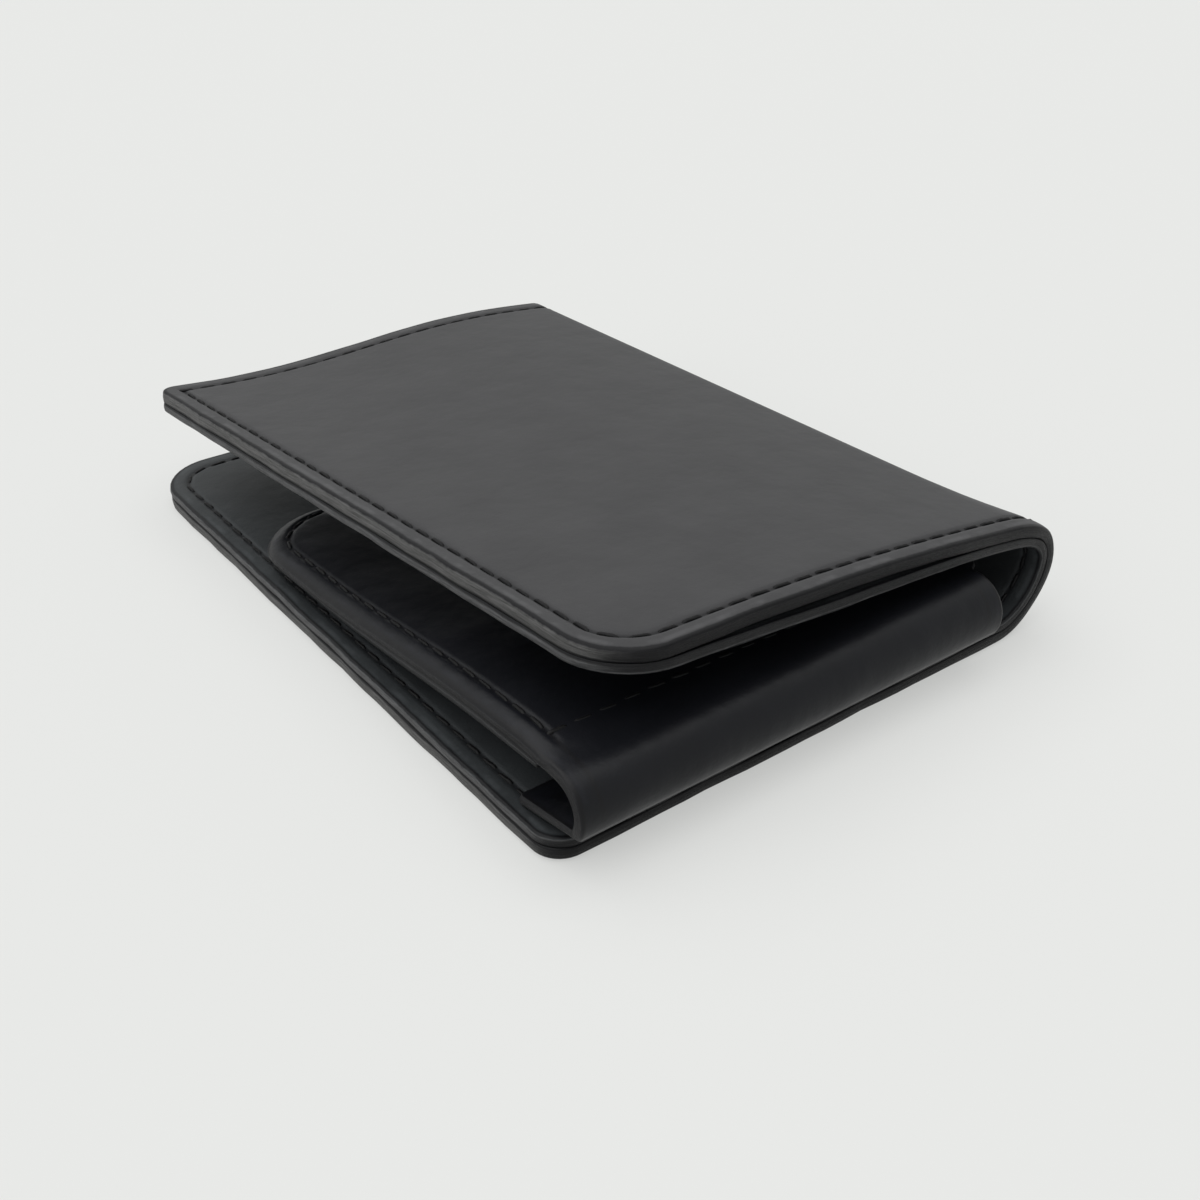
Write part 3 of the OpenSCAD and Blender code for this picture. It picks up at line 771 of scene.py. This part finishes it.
def strip_surface(x, y):
    """Point on the outside of the strip: foot, fold or flap."""
    turn = 1.5 * math.pi - np.clip((y - FOOT) / STRAP_R, 0, math.pi - FLAP_TILT)
    along = np.clip(y - FLAP_START, 0, None)
    puff = np.where(y > FLAP_START, swelling(x, along, FACE_PUFF), 0)
    way = STRAP_Y + STRAP_R * np.cos(turn) + along * math.cos(FLAP_TILT) + puff * math.sin(FLAP_TILT)
    up = STRAP_Z + STRAP_R * np.sin(turn) - along * math.sin(FLAP_TILT) + puff * math.cos(FLAP_TILT)
    way = np.where(y < FOOT, STRAP_Y + FOOT - y, way)
    return np.stack([FLAP_RIGHT - x, way, up], -1)


# Where the strip grows wider past its fold, over what length, and by how much on each side.
WIDER_AT, WIDER_LEN, SPINE_SHOULDER, FREE_SHOULDER = 2.0, 1.5, 2.0, 0.3


def narrowed(flat):
    """Draws the strip in where it folds, which leaves a small shoulder on each side."""
    drawn_in = 1 - smooth((flat[:, 1] - FLAP_START - WIDER_AT) / WIDER_LEN + 0.5)
    share = flat[:, 0] / FLAP_W
    return shifted(flat, 0, drawn_in * ((1 - share) * SPINE_SHOULDER - share * FREE_SHOULDER))


RIM, RIM_DROP, RIM_START, RIM_FADE = 2.6, 0.85, 1.0, 4.0
GROOVE_INSET, GROOVE_DEPTH, GROOVE_START = 1.2, 0.5, 3.0


def round_rimmed(flat):
    """Rounds the flap's rim over its stuffing; the fold keeps a plain cut edge and no groove."""
    past, depth, inset = flat[:, 1] - FLAP_START, flat[:, 2], flat[:, 3]
    rim = (1 - np.clip(inset / RIM, 0, 1)) ** 2
    groove = (inset > GROOVE_INSET) & (depth < GROOVE_DEPTH)
    moved = flat.copy()
    moved[:, 2] *= np.where(groove, np.clip(past - GROOVE_START, 0, 1), 1)
    drop = RIM_DROP * rim * np.clip((past - RIM_START) / RIM_FADE, 0, 1)
    return shifted(moved, 2, drop * (1 - np.clip(depth / STRAP_T, 0, 1)))


print("strip", round(FLAP_W, 1), "wide, fold arc", round(FOLD_ARC, 1), "flap", FLAP_LEN)

# %% Flap and fold leather
FLAP_END = FLAP_START + FLAP_LEN
STRIP = (0.0, FLAP_W, 0.0, FLAP_END)
FLAP_CORNER, SQUARE_CORNER = 12.0, 0.6
FLAP_CORNERS = (SQUARE_CORNER, FLAP_CORNER, FLAP_CORNER, SQUARE_CORNER)
strip_section = leather_section(STRAP_T, (0.4, 0.2), (0.2, 0.0), FLAP_CORNER, bulge=0.25)
strip_xs = spaced(FLAP_CORNER, FLAP_W - FLAP_CORNER, 3.5)
strip_ys = spaced(FLAP_CORNER, FLAP_START, 0.8)
strip_ys += [FLAP_START + WIDER_AT + d for d in (-0.75, -0.4, 0, 0.4, 0.75)]
strip_ys += spaced(FLAP_START + 3.5, FLAP_END - FLAP_CORNER, 3.0)
flat, faces = leather_mesh(STRIP, FLAP_CORNERS, strip_section, strip_xs, strip_ys)
coords = laid(strip_surface, narrowed(round_rimmed(flat)))
by_length = flat[:, [1, 0, 2, 3]]
fold_leather, flap_leather = cut_into_parts("strip", coords, faces, by_length, [FLAP_START],
                                            ["flap_fold_leather", "flap_face_leather"])
for piece in (fold_leather, flap_leather):
    piece.data.materials.append(MATERIALS["flap_leather"])
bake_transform(fold_leather)
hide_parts("strap_lower")
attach(flap_leather, "flap")
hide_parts("flap_cover")
print("strip:", len(flat), "points")

# %% Leather and board under the flap
UNDER_IN, UNDER_STEP = 0.35, 3.0
UNDER = (UNDER_IN, FLAP_W - UNDER_IN, FLAP_START + UNDER_STEP, FLAP_END - UNDER_IN)


def swollen(flat):
    """Adds the stuffing's thickness to the depth of what lies under the flap's face."""
    share = np.clip((flat[:, 2] - STRAP_T) / FLAP_LINING_T, 0, 1)
    return shifted(flat, 2, share * swelling(flat[:, 0], flat[:, 1] - FLAP_START, UNDER_PUFF))


under_section = leather_section(FLAP_LINING_T, (0.2, 1.3), (0.0, 0.28), FLAP_CORNER, top=STRAP_T,
                                bulge=0.15)
under_ys = spaced(UNDER[2] + FLAP_CORNER, UNDER[3] - FLAP_CORNER, 3.0)
flat, faces = leather_mesh(UNDER, FLAP_CORNERS, under_section, strip_xs, under_ys)
flap_under = laid_piece("flap_lining_leather", strip_surface, swollen(flat), faces, flat,
                        "lining_leather")
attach(flap_under, "flap")
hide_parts("flap_lining")

BOARD_T, BOARD_IN, BOARD_CORNER, BOARD_DEPTH = 0.8, 5.0, 7.0, 0.4
BOARD = (BOARD_IN, FLAP_W - BOARD_IN, UNDER[2] + BOARD_IN, UNDER[3] - BOARD_IN)
board_section = leather_section(BOARD_T, (0.1, 0.1), (0.0, 0.0), BOARD_CORNER,
                                top=STRAP_T + BOARD_DEPTH, bulge=0.0)
flat, faces = leather_mesh(BOARD, (SQUARE_CORNER, BOARD_CORNER, BOARD_CORNER, SQUARE_CORNER),
                           board_section, *grid_lines(BOARD, BOARD_CORNER, 8, 6))
board = laid_piece("flap_stiffening_board", strip_surface, flat, faces, flat, "grey_board")
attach(board, "flap")
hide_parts("flap_board")
print("under the flap:", len(flap_under.data.vertices), "points; board:", len(board.data.vertices))

# %% [markdown]
# ## The seams
# A seam is one black waxed thread that dips into the leather every three or four millimetres, so it
# shows as a row of separate stitches. A dashed texture would have no thickness at the edge of the
# leather. Each stitch here is a short tube of two twisted strands whose ends plunge into the groove.

# %% Where the stitches lie
PAST_CORNERS = 12


def seam_line(size, radii, margin, open_at_x0=False):
    """Points of a seam, margin in from the edges of a leather."""
    x0, x1, y0, y1 = size
    loop = loop_points(size, radii, margin, [x0 + PAST_CORNERS, x1 - PAST_CORNERS],
                       [y0 + PAST_CORNERS, y1 - PAST_CORNERS])
    if not open_at_x0:
        return np.vstack([loop, loop[:1]])
    three_sides = loop[:3 * 2 + 2 * (CORNER_STEPS + 1)]
    ends = [(x0 + MOUTH_CORNER, y0 + margin)], [(x0 + MOUTH_CORNER, y1 - margin)]
    return np.vstack([ends[0], three_sides, ends[1]])


def stitch_places(line):
    """Middle and direction of each stitch along a line."""
    steps = np.diff(line, axis=0)
    lengths = np.hypot(*steps.T)
    keep = lengths > 1e-6
    line, steps, lengths = np.vstack([line[:-1][keep], line[-1:]]), steps[keep], lengths[keep]
    reached = np.concatenate([[0], np.cumsum(lengths)])
    count = round(reached[-1] / STITCH_PITCH)
    at = (np.arange(count) + 0.5) * reached[-1] / count
    middle = np.stack([np.interp(at, reached, line[:, k]) for k in (0, 1)], 1)
    ways = (steps / lengths[:, None])[np.clip(np.searchsorted(reached, at) - 1, 0, len(steps) - 1)]
    return middle, ways


hide_middle, hide_ways = stitch_places(seam_line(HIDE, HIDE_CORNERS, SEAM_MARGIN))
print("stitches round the hide:", len(hide_middle))

# %% The stitches' mesh
# Slant and its spread are in radians; lengths and widths are the least and most share of the plan.
STITCH_RINGS, STITCH_SIDES = 9, 8
SLANT, SLANT_SPREAD, OFF_LINE = 0.07, 0.03, 0.04
HALF_STITCH, LENGTHS, WIDTHS = 0.455, (0.95, 1.04), (0.85, 1.2)
TWIST, STRAND, STRAND_SWELL = 2.2, 0.82, 0.2
SUNK, END_DIP = 0.2, 0.62


def stitch_mesh(middle, ways, face_depth, inwards, seed):
    """Flat points and faces of a row of stitches on the face of a leather."""
    rng = np.random.default_rng(seed)
    n = len(middle)
    slant = rng.normal(SLANT, SLANT_SPREAD, n)
    ways = np.stack([ways[:, 0] * np.cos(slant) - ways[:, 1] * np.sin(slant),
                     ways[:, 0] * np.sin(slant) + ways[:, 1] * np.cos(slant)], 1)
    sideways = np.stack([-ways[:, 1], ways[:, 0]], 1)
    middle = middle + sideways * rng.normal(0, OFF_LINE, n)[:, None]
    half = HALF_STITCH * STITCH_PITCH * rng.uniform(*LENGTHS, n)
    fat = rng.uniform(*WIDTHS, n)
    t = np.linspace(-1, 1, STITCH_RINGS)
    a = 2 * math.pi * np.arange(STITCH_SIDES) / STITCH_SIDES
    strands = STRAND + STRAND_SWELL * np.abs(np.cos(a[None, :] - TWIST * t[:, None]))
    radius = THREAD_R * strands * fat[:, None, None]
    dip = SUNK + END_DIP * np.abs(t) ** 5
    along = (half[:, None] * t)[:, :, None, None] * ways[:, None, None, :]
    side = (radius * np.cos(a))[..., None] * sideways[:, None, None, :]
    flat = np.zeros((n, STITCH_RINGS, STITCH_SIDES, 4))
    flat[..., :2] = middle[:, None, None, :] + along + side
    flat[..., 2] = face_depth + inwards * dip[None, :, None] + radius * np.sin(a)
    flat[..., 3] = t[None, :, None]
    faces = []
    for k in range(n):
        base = k * STITCH_RINGS * STITCH_SIDES
        for i in range(STITCH_RINGS - 1):
            for j in range(STITCH_SIDES):
                u, v = base + i * STITCH_SIDES, (j + 1) % STITCH_SIDES
                faces.append((u + j, u + v, u + STITCH_SIDES + v, u + STITCH_SIDES + j))
        last = base + (STITCH_RINGS - 1) * STITCH_SIDES
        faces.append(tuple(range(base, base + STITCH_SIDES))[::-1])
        faces.append(tuple(range(last, last + STITCH_SIDES)))
    return flat.reshape(-1, 4), faces


def sew(name, surface, middle, ways, face_depth, inwards, seed, shaped=None):
    """One piece of thread: a row of stitches laid on a folded surface."""
    flat, faces = stitch_mesh(middle, ways, face_depth, inwards, seed)
    moved = shaped(flat) if shaped else flat
    thread = laid_piece(name, surface, moved, faces, flat, "waxed_thread")
    return thread


print("points in a stitch:", STITCH_RINGS * STITCH_SIDES)

# %% Seams round the covers
def sew_hide(face, face_depth, inwards, seed):
    """The seam of one face of the hide, in the four parts that move apart."""
    part_of = np.searchsorted(HIDE_CUTS, hide_middle[:, 0])
    moves = [("back", None), ("back", "spine"), ("spine", "front"), ("front", None)]
    nodes = ["back_seam", "spine_seam", "spine_seam", "front_seam"]
    for k, part in enumerate(("back", "lower_spine", "upper_spine", "front")):
        here = part_of == k
        thread = sew(f"{part}_{face}_stitches", hide_surface, hide_middle[here], hide_ways[here],
                     face_depth, inwards, seed + k, sagging if face == "inner" else None)
        if moves[k][1]:
            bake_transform(thread)
        else:
            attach(thread, moves[k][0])
        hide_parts(f"{nodes[k]}_{face}")


sew_hide("outer", 0.0, 1, 11)
sew_hide("inner", BACK_T, -1, 21)
print("cover seams sewn")

# %% Seams of the flap, its foot and the pocket
FOOT_IN, FLAP_SEAM_CORNER = 2, 1.5
flap_outline = (0.0, FLAP_W, FLAP_START + WIDER_AT, FLAP_END)
flap_corners = (FLAP_SEAM_CORNER, FLAP_CORNER, FLAP_CORNER, FLAP_SEAM_CORNER)
flap_middle, flap_ways = stitch_places(seam_line(flap_outline, flap_corners, SEAM_MARGIN))
top = sew("flap_top_stitches", strip_surface, flap_middle, flap_ways, 0.0, 1, 31)
under = sew("flap_under_stitches", strip_surface, flap_middle, flap_ways, FLAP_T, -1, 32, swollen)
for thread, node in ((top, "flap_seam_top"), (under, "flap_seam_under")):
    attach(thread, "flap")
    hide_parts(node)

foot_line = np.array([(FOOT_IN + SEAM_MARGIN, FOOT / 2), (FLAP_W - FOOT_IN - SEAM_MARGIN, FOOT / 2)])
foot_places = stitch_places(foot_line)
foot_thread = sew("fold_foot_stitches", strip_surface, *foot_places, STRAP_T, -1, 33)
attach(foot_thread, "back")
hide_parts("strap_seam")

pocket_places = stitch_places(seam_line(POCKET, POCKET_CORNERS, POCKET_MARGIN, open_at_x0=True))
pocket_thread = sew("card_pocket_stitches", hide_surface, *pocket_places, BACK_T + POCKET_T, -1, 34,
                    sagging)
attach(pocket_thread, "front")
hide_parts("front_pocket_seam")
print("stitches in all:", 2 * len(hide_middle) + 2 * len(flap_middle) + len(foot_places[0])
      + len(pocket_places[0]))

# %% [markdown]
# ## Shader groups
# Every leather here has grain, and every leather has a cut edge that was dyed, rubbed and worn, with
# shade painted into its crease and on its near end. Both are node groups that read the flat coordinates
# in millimetres, so one grain runs on round each fold.

# %% Small helpers for nodes
def node_group(name, inputs, outputs):
    """An empty shader group with named sockets; returns it with its input and output nodes."""
    group = bpy.data.node_groups.new(name, "ShaderNodeTree")
    for label, kind, value in inputs:
        socket = group.interface.new_socket(label, in_out="INPUT", socket_type=kind)
        if value is not None:
            socket.default_value = value
    for label, kind in outputs:
        group.interface.new_socket(label, in_out="OUTPUT", socket_type=kind)
    return group, group.nodes.new("NodeGroupInput"), group.nodes.new("NodeGroupOutput")


def add(tree, kind, links=None, **settings):
    """Adds a node, sets its fields and joins or fills its inputs."""
    node = tree.nodes.new(kind)
    for field, value in settings.items():
        setattr(node, field, value)
    for socket, value in (links or {}).items():
        if isinstance(value, bpy.types.NodeSocket):
            tree.links.new(value, node.inputs[socket])
        else:
            node.inputs[socket].default_value = value
    return node


def send(tree, node, links):
    """Links values to the named inputs of a node that exists already."""
    for socket, value in links.items():
        tree.links.new(value, node.inputs[socket])


def maths(tree, operation, *values):
    """A Math node; returns its output."""
    return add(tree, "ShaderNodeMath", dict(enumerate(values)), operation=operation).outputs[0]


def times(tree, value, factor):
    """A value multiplied by another; returns its output."""
    return maths(tree, "MULTIPLY", value, factor)


def stretched(tree, place, factors):
    """A place with its axes scaled apart; returns its output."""
    return add(tree, "ShaderNodeVectorMath", {0: place, 1: factors}, operation="MULTIPLY").outputs[0]


def noise(tree, place, scale, detail, rough=0.5):
    """Soft random spots between 0 and 1; returns their value."""
    links = {"Vector": place, "Scale": scale, "Detail": detail, "Roughness": rough}
    return add(tree, "ShaderNodeTexNoise", links).outputs["Fac"]


def mixed(tree, share, first, second):
    """A mix of two colours of three values each, or of sockets; returns the colour."""
    first, second = [c if isinstance(c, bpy.types.NodeSocket) else (*c, 1) for c in (first, second)]
    links = {"Factor": share, 6: first, 7: second}
    return add(tree, "ShaderNodeMix", links, data_type="RGBA").outputs[2]


def bumped(tree, height, strength, distance):
    """A bump from a height; returns the normal."""
    links = {"Height": height, "Strength": strength, "Distance": distance}
    return add(tree, "ShaderNodeBump", links).outputs["Normal"]


def between(tree, value, low, high, to_low=0.0, to_high=1.0):
    """A smooth step of a value from one range to another; returns its output."""
    links = {"Value": value, "From Min": low, "From Max": high, "To Min": to_low, "To Max": to_high}
    return add(tree, "ShaderNodeMapRange", links, interpolation_type="SMOOTHSTEP").outputs[0]


def fading(tree, value, low, high):
    """1 up to low, 0 from high on, and smooth between; returns its output."""
    return between(tree, value, low, high, 1.0, 0.0)


def start_material(name):
    """The node tree of a material, its shader, and the flat place of each point."""
    tree = MATERIALS[name].node_tree
    place = add(tree, "ShaderNodeAttribute", attribute_name=GRAIN_ATTRIBUTE).outputs["Vector"]
    return tree, tree.nodes["Principled BSDF"], place


VALUE, VECTOR = "NodeSocketFloat", "NodeSocketVector"
print("kinds of sockets:", VALUE, VECTOR)

# %% Group: leather grain
def leather_grain():
    """Fine pores, soft hills and faint rubbed streaks, from flat coordinates in millimetres."""
    tree, given, out = node_group(
        "Leather grain",
        [("Place", VECTOR, None), ("Grain depth", VALUE, 0.02), ("Grain size", VALUE, 0.5)],
        [("Height", VALUE), ("Tone", VALUE), ("Rubbed", VALUE)])
    place = given.outputs["Place"]
    often = maths(tree, "DIVIDE", 1.0, given.outputs["Grain size"])
    pores = add(tree, "ShaderNodeTexVoronoi", {"Vector": place, "Scale": often, "Randomness": 1.0},
                feature="SMOOTH_F1").outputs["Distance"]
    fine = noise(tree, place, 3.4, 4.0, 0.6)
    hills = noise(tree, place, 0.11, 3.0)
    streaks = noise(tree, stretched(tree, place, (0.16, 1.1, 1.0)), 0.9, 6.0, 0.7)
    grain = maths(tree, "ADD", times(tree, pores, 0.6), fine)
    height = times(tree, grain, given.outputs["Grain depth"])
    height = maths(tree, "ADD", height, times(tree, hills, 0.35))
    send(tree, out, {"Height": height, "Tone": hills, "Rubbed": between(tree, streaks, 0.45, 0.75)})
    return tree


GRAIN = leather_grain()
print(GRAIN.name, [s.name for s in GRAIN.interface.items_tree])

# %% Group: cut edge
def cut_edge():
    """Masks for a dyed and rubbed edge and for shade painted on it, from the distance to the edge in
    millimetres.
    """
    tree, given, out = node_group(
        "Cut edge",
        [("Place", VECTOR, None), ("From edge", VALUE, 9.0), ("Seam margin", VALUE, SEAM_MARGIN),
         ("Join depth", VALUE, OUTER_T)],
        [("Cut side", VALUE), ("Crease shade and glue line", VALUE), ("Worn rim", VALUE), ("Seam shade", VALUE),
         ("Streaks", VALUE), ("Burnish and painted shade", VALUE)])
    place, inset = given.outputs["Place"], given.outputs["From edge"]
    axes = add(tree, "ShaderNodeSeparateXYZ", {0: place}).outputs
    uneven = noise(tree, place, 0.55, 5.0, 0.65)
    drift = times(tree, maths(tree, "SUBTRACT", uneven, 0.5), 0.35)

    # A dark line of painted shade runs in the crease beside the edge, and a dark glue joint runs
    # between two leathers.
    edge = maths(tree, "ADD", inset, drift)
    crease = times(tree, between(tree, edge, 0.0, 0.12), fading(tree, edge, 0.4, 0.7))
    below = maths(tree, "ADD", axes["Z"], times(tree, drift, 0.6))
    below = maths(tree, "SUBTRACT", below, given.outputs["Join depth"])
    glue = fading(tree, maths(tree, "ABSOLUTE", below), 0.2, 0.48)
    glue = times(tree, glue, fading(tree, inset, 0.3, 0.6))

    # The rim is worn in patches, and the leather is darker beside the thread.
    patches = noise(tree, place, 0.22, 4.0, 0.6)
    rim = times(tree, between(tree, inset, 0.6, 0.9), fading(tree, inset, 1.1, 1.6))
    rim = times(tree, rim, between(tree, patches, 0.42, 0.62))
    off = maths(tree, "ABSOLUTE", maths(tree, "SUBTRACT", inset, given.outputs["Seam margin"]))

    # Fibres run along the cut side. At the near edge of the covers it is burnished glossier and painted
    # darker with shade, but the lowest bevel of the lining is left light there as a painted highlight.
    fibres = noise(tree, stretched(tree, place, (0.25, 0.25, 5.0)), 1.0, 6.0, 0.7)
    near = fading(tree, maths(tree, "ADD", axes["Y"], times(tree, drift, 8.0)), 1.0, 7.0)
    near = times(tree, near, fading(tree, axes["Z"], BACK_T - 0.5, BACK_T - 0.25))
    send(tree, out, {
        "Cut side": fading(tree, inset, 0.0, 0.06), "Crease shade and glue line": maths(tree, "MAXIMUM", crease, glue),
        "Worn rim": rim, "Seam shade": fading(tree, off, 0.1, 0.5),
        "Streaks": between(tree, fibres, 0.3, 0.7),
        "Burnish and painted shade": times(tree, near, fading(tree, inset, 0.25, 0.5))})
    return tree


EDGE = cut_edge()
print(EDGE.name, [s.name for s in EDGE.interface.items_tree])

# %% [markdown]
# ## The leather materials
# All the leathers are dyed black, but the cover's outer face has gone grey and dull with handling, and
# the inside is darker and a little glossier. Each one is the same recipe with its own values.

# %% Leather materials
# Black of the dye, also the colour of the shade painted on edges and seams.
BLACK_DYE_AND_SHADE = (0.006, 0.006, 0.007)
BURNISHED_ROUGH = 0.34


def finish_leather(name, dye, bloom, side, rough, side_rough, grain_size, grain_depth, shine,
                   join_depth):
    """Builds a leather: dyed, bloomed by wear, with grain, burnished edges, and shade painted at its
    seams and edges.
    """
    tree, shader, place = start_material(name)
    inset = add(tree, "ShaderNodeAttribute", attribute_name=EDGE_ATTRIBUTE).outputs["Fac"]
    grain = add(tree, "ShaderNodeGroup", node_tree=GRAIN)
    edge = add(tree, "ShaderNodeGroup", node_tree=EDGE)
    send(tree, grain, {"Place": place})
    send(tree, edge, {"Place": place, "From edge": inset})
    grain.inputs["Grain size"].default_value = grain_size
    grain.inputs["Grain depth"].default_value = grain_depth
    edge.inputs["Seam margin"].default_value = SEAM_MARGIN
    edge.inputs["Join depth"].default_value = join_depth

    grain, edge = grain.outputs, edge.outputs
    dark_fibre, pale_fibre = [0.55 * c for c in side], [1.5 * c for c in side]
    fibrous = mixed(tree, edge["Streaks"], dark_fibre, pale_fibre)
    colour = mixed(tree, times(tree, grain["Tone"], 0.9), dye, bloom)
    # Shade is painted towards black beside the seam, in the crease beside the edge and on the near
    # edge's cut side.
    for share, over in ((times(tree, grain["Rubbed"], 0.14), bloom),
                        (times(tree, edge["Seam shade"], 0.7), BLACK_DYE_AND_SHADE),
                        (times(tree, edge["Worn rim"], 0.3), [2.0 * c for c in bloom]),
                        (edge["Cut side"], fibrous),
                        (times(tree, edge["Burnish and painted shade"], 0.94), BLACK_DYE_AND_SHADE),
                        (times(tree, edge["Crease shade and glue line"], 0.92), BLACK_DYE_AND_SHADE)):
        colour = mixed(tree, share, colour, over)

    dull = maths(tree, "ADD", rough, times(tree, grain["Tone"], 0.1))
    dull = between(tree, edge["Cut side"], 0.0, 1.0, dull, side_rough)
    dull = between(tree, edge["Burnish and painted shade"], 0.0, 1.0, dull, BURNISHED_ROUGH)
    ridges = times(tree, times(tree, edge["Streaks"], edge["Cut side"]), 0.05)
    normal = bumped(tree, maths(tree, "ADD", grain["Height"], ridges), 1.0, MM)
    send(tree, shader, {"Base Color": colour, "Roughness": dull, "Normal": normal})
    shader.inputs["Specular IOR Level"].default_value = shine


finish_leather("cover_leather", dye=(0.040, 0.040, 0.042), bloom=(0.069, 0.069, 0.071),
               side=(0.094, 0.094, 0.092), rough=0.46, side_rough=0.5, grain_size=0.45,
               grain_depth=0.018, shine=0.12, join_depth=OUTER_T)
finish_leather("lining_leather", dye=(0.028, 0.031, 0.033), bloom=(0.051, 0.056, 0.059),
               side=(0.080, 0.081, 0.082), rough=0.42, side_rough=0.5, grain_size=0.6,
               grain_depth=0.022, shine=0.16, join_depth=OUTER_T)
finish_leather("flap_leather", dye=(0.005, 0.0055, 0.007), bloom=(0.009, 0.0095, 0.0125),
               side=(0.010, 0.010, 0.011), rough=0.33, side_rough=0.36, grain_size=0.5,
               grain_depth=0.016, shine=0.19, join_depth=STRAP_T)
print("leathers finished")

# %% [markdown]
# The thread is waxed, so it is nearly black with a soft shine. The clear sheet is slightly blue and
# smooth. The board inside the flap is plain grey pulp, which nobody sees until it is taken apart.

# %% Thread, clear sheet and board
tree, shader, place = start_material("waxed_thread")
fibres = noise(tree, place, 9.0, 3.0)
send(tree, shader, {"Base Color": mixed(tree, fibres, (0.0015, 0.0015, 0.0015), BLACK_DYE_AND_SHADE),
                    "Roughness": between(tree, fibres, 0.3, 0.7, 0.5, 0.62),
                    "Normal": bumped(tree, fibres, 0.6, 0.05 * MM)})
shader.inputs["Specular IOR Level"].default_value = 0.18

tree, shader, place = start_material("clear_film")
scuffs = noise(tree, place, 0.35, 6.0, 0.75)
send(tree, shader, {"Base Color": mixed(tree, scuffs, (0.86, 0.92, 0.95), (0.93, 0.96, 0.98)),
                    "Roughness": between(tree, scuffs, 0.45, 0.8, 0.06, 0.22)})
shader.inputs["Transmission Weight"].default_value = 1.0
shader.inputs["IOR"].default_value = 1.5

tree, shader, place = start_material("grey_board")
pulp = noise(tree, place, 1.6, 6.0, 0.7)
send(tree, shader, {"Base Color": mixed(tree, pulp, (0.12, 0.11, 0.095), (0.26, 0.24, 0.21)),
                    "Roughness": between(tree, pulp, 0.3, 0.7, 0.75, 0.9)})
print("thread, clear sheet and board finished")

# %% [markdown]
# ## The studio
# The wallet lies on a seamless pale table in soft light from above. An even world light and two very
# soft suns, overhead and from the left, light the table evenly; area lamps would fall off. The table
# shows most of its colour by itself, so the wallet's shadow on it stays faint, as in the photograph.

# %% Floor, world and suns
BACKDROP = (0.783, 0.791, 0.776)
CARD, SKY = (0.36,) * 3, (0.32,) * 3
OWN_LIGHT = 0.6
FLOOR_REACH, FLOOR_Z = 3.0, -0.06 * MM


def seen_rays(tree):
    """1 for rays that show the background: straight from the camera, mirrored or through glass."""
    ray = add(tree, "ShaderNodeLightPath").outputs
    through = maths(tree, "MAXIMUM", ray["Is Glossy Ray"], ray["Is Transmission Ray"])
    return maths(tree, "MAXIMUM", ray["Is Camera Ray"], through)


floor_mesh = bpy.data.meshes.new("studio_floor")
floor_mesh.from_pydata([(x * FLOOR_REACH, y * FLOOR_REACH, FLOOR_Z)
                        for x, y in ((-1, -1), (1, -1), (1, 1), (-1, 1))], [], [(0, 1, 2, 3)])
floor = new_object("studio_floor", floor_mesh)
floor.data.materials.append(MATERIALS["studio_floor"])

tree = MATERIALS["studio_floor"].node_tree
shader = tree.nodes["Principled BSDF"]
shader.inputs["Roughness"].default_value = 0.9
shader.inputs["Specular IOR Level"].default_value = 0.0
paper = noise(tree, add(tree, "ShaderNodeTexCoord").outputs["Object"], 3.0, 2.0)
pale = mixed(tree, paper, BACKDROP, [c * 1.01 for c in BACKDROP])
seen = seen_rays(tree)
send(tree, shader, {"Base Color": mixed(tree, seen, CARD, pale)})
glow = add(tree, "ShaderNodeEmission", {"Color": pale})
even = add(tree, "ShaderNodeMixShader",
           {0: times(tree, seen, OWN_LIGHT), 1: shader.outputs[0], 2: glow.outputs[0]})
send(tree, tree.nodes["Material Output"], {"Surface": even.outputs[0]})

world = bpy.data.worlds.new("studio")
bpy.context.scene.world = world
world.use_nodes = True
tree = world.node_tree
sky = tree.nodes["Background"]
send(tree, sky, {"Color": mixed(tree, seen_rays(tree), SKY, BACKDROP)})
sky.inputs["Strength"].default_value = 1.0


def soft_sun(name, energy, width, towards):
    """A sun as wide as a large soft box, shining towards a direction."""
    sun = new_object(name, bpy.data.lights.new(name, "SUN"))
    sun.data.energy, sun.data.angle = energy, math.radians(width)
    aim(sun, towards)


soft_sun("overhead_softbox", 2.1, 85, (0.08, -0.12, -1.0))
soft_sun("side_softbox", 0.75, 50, (1.0, -0.05, -0.4))
bpy.context.scene.view_settings.view_transform = "Standard"
print("studio ready")
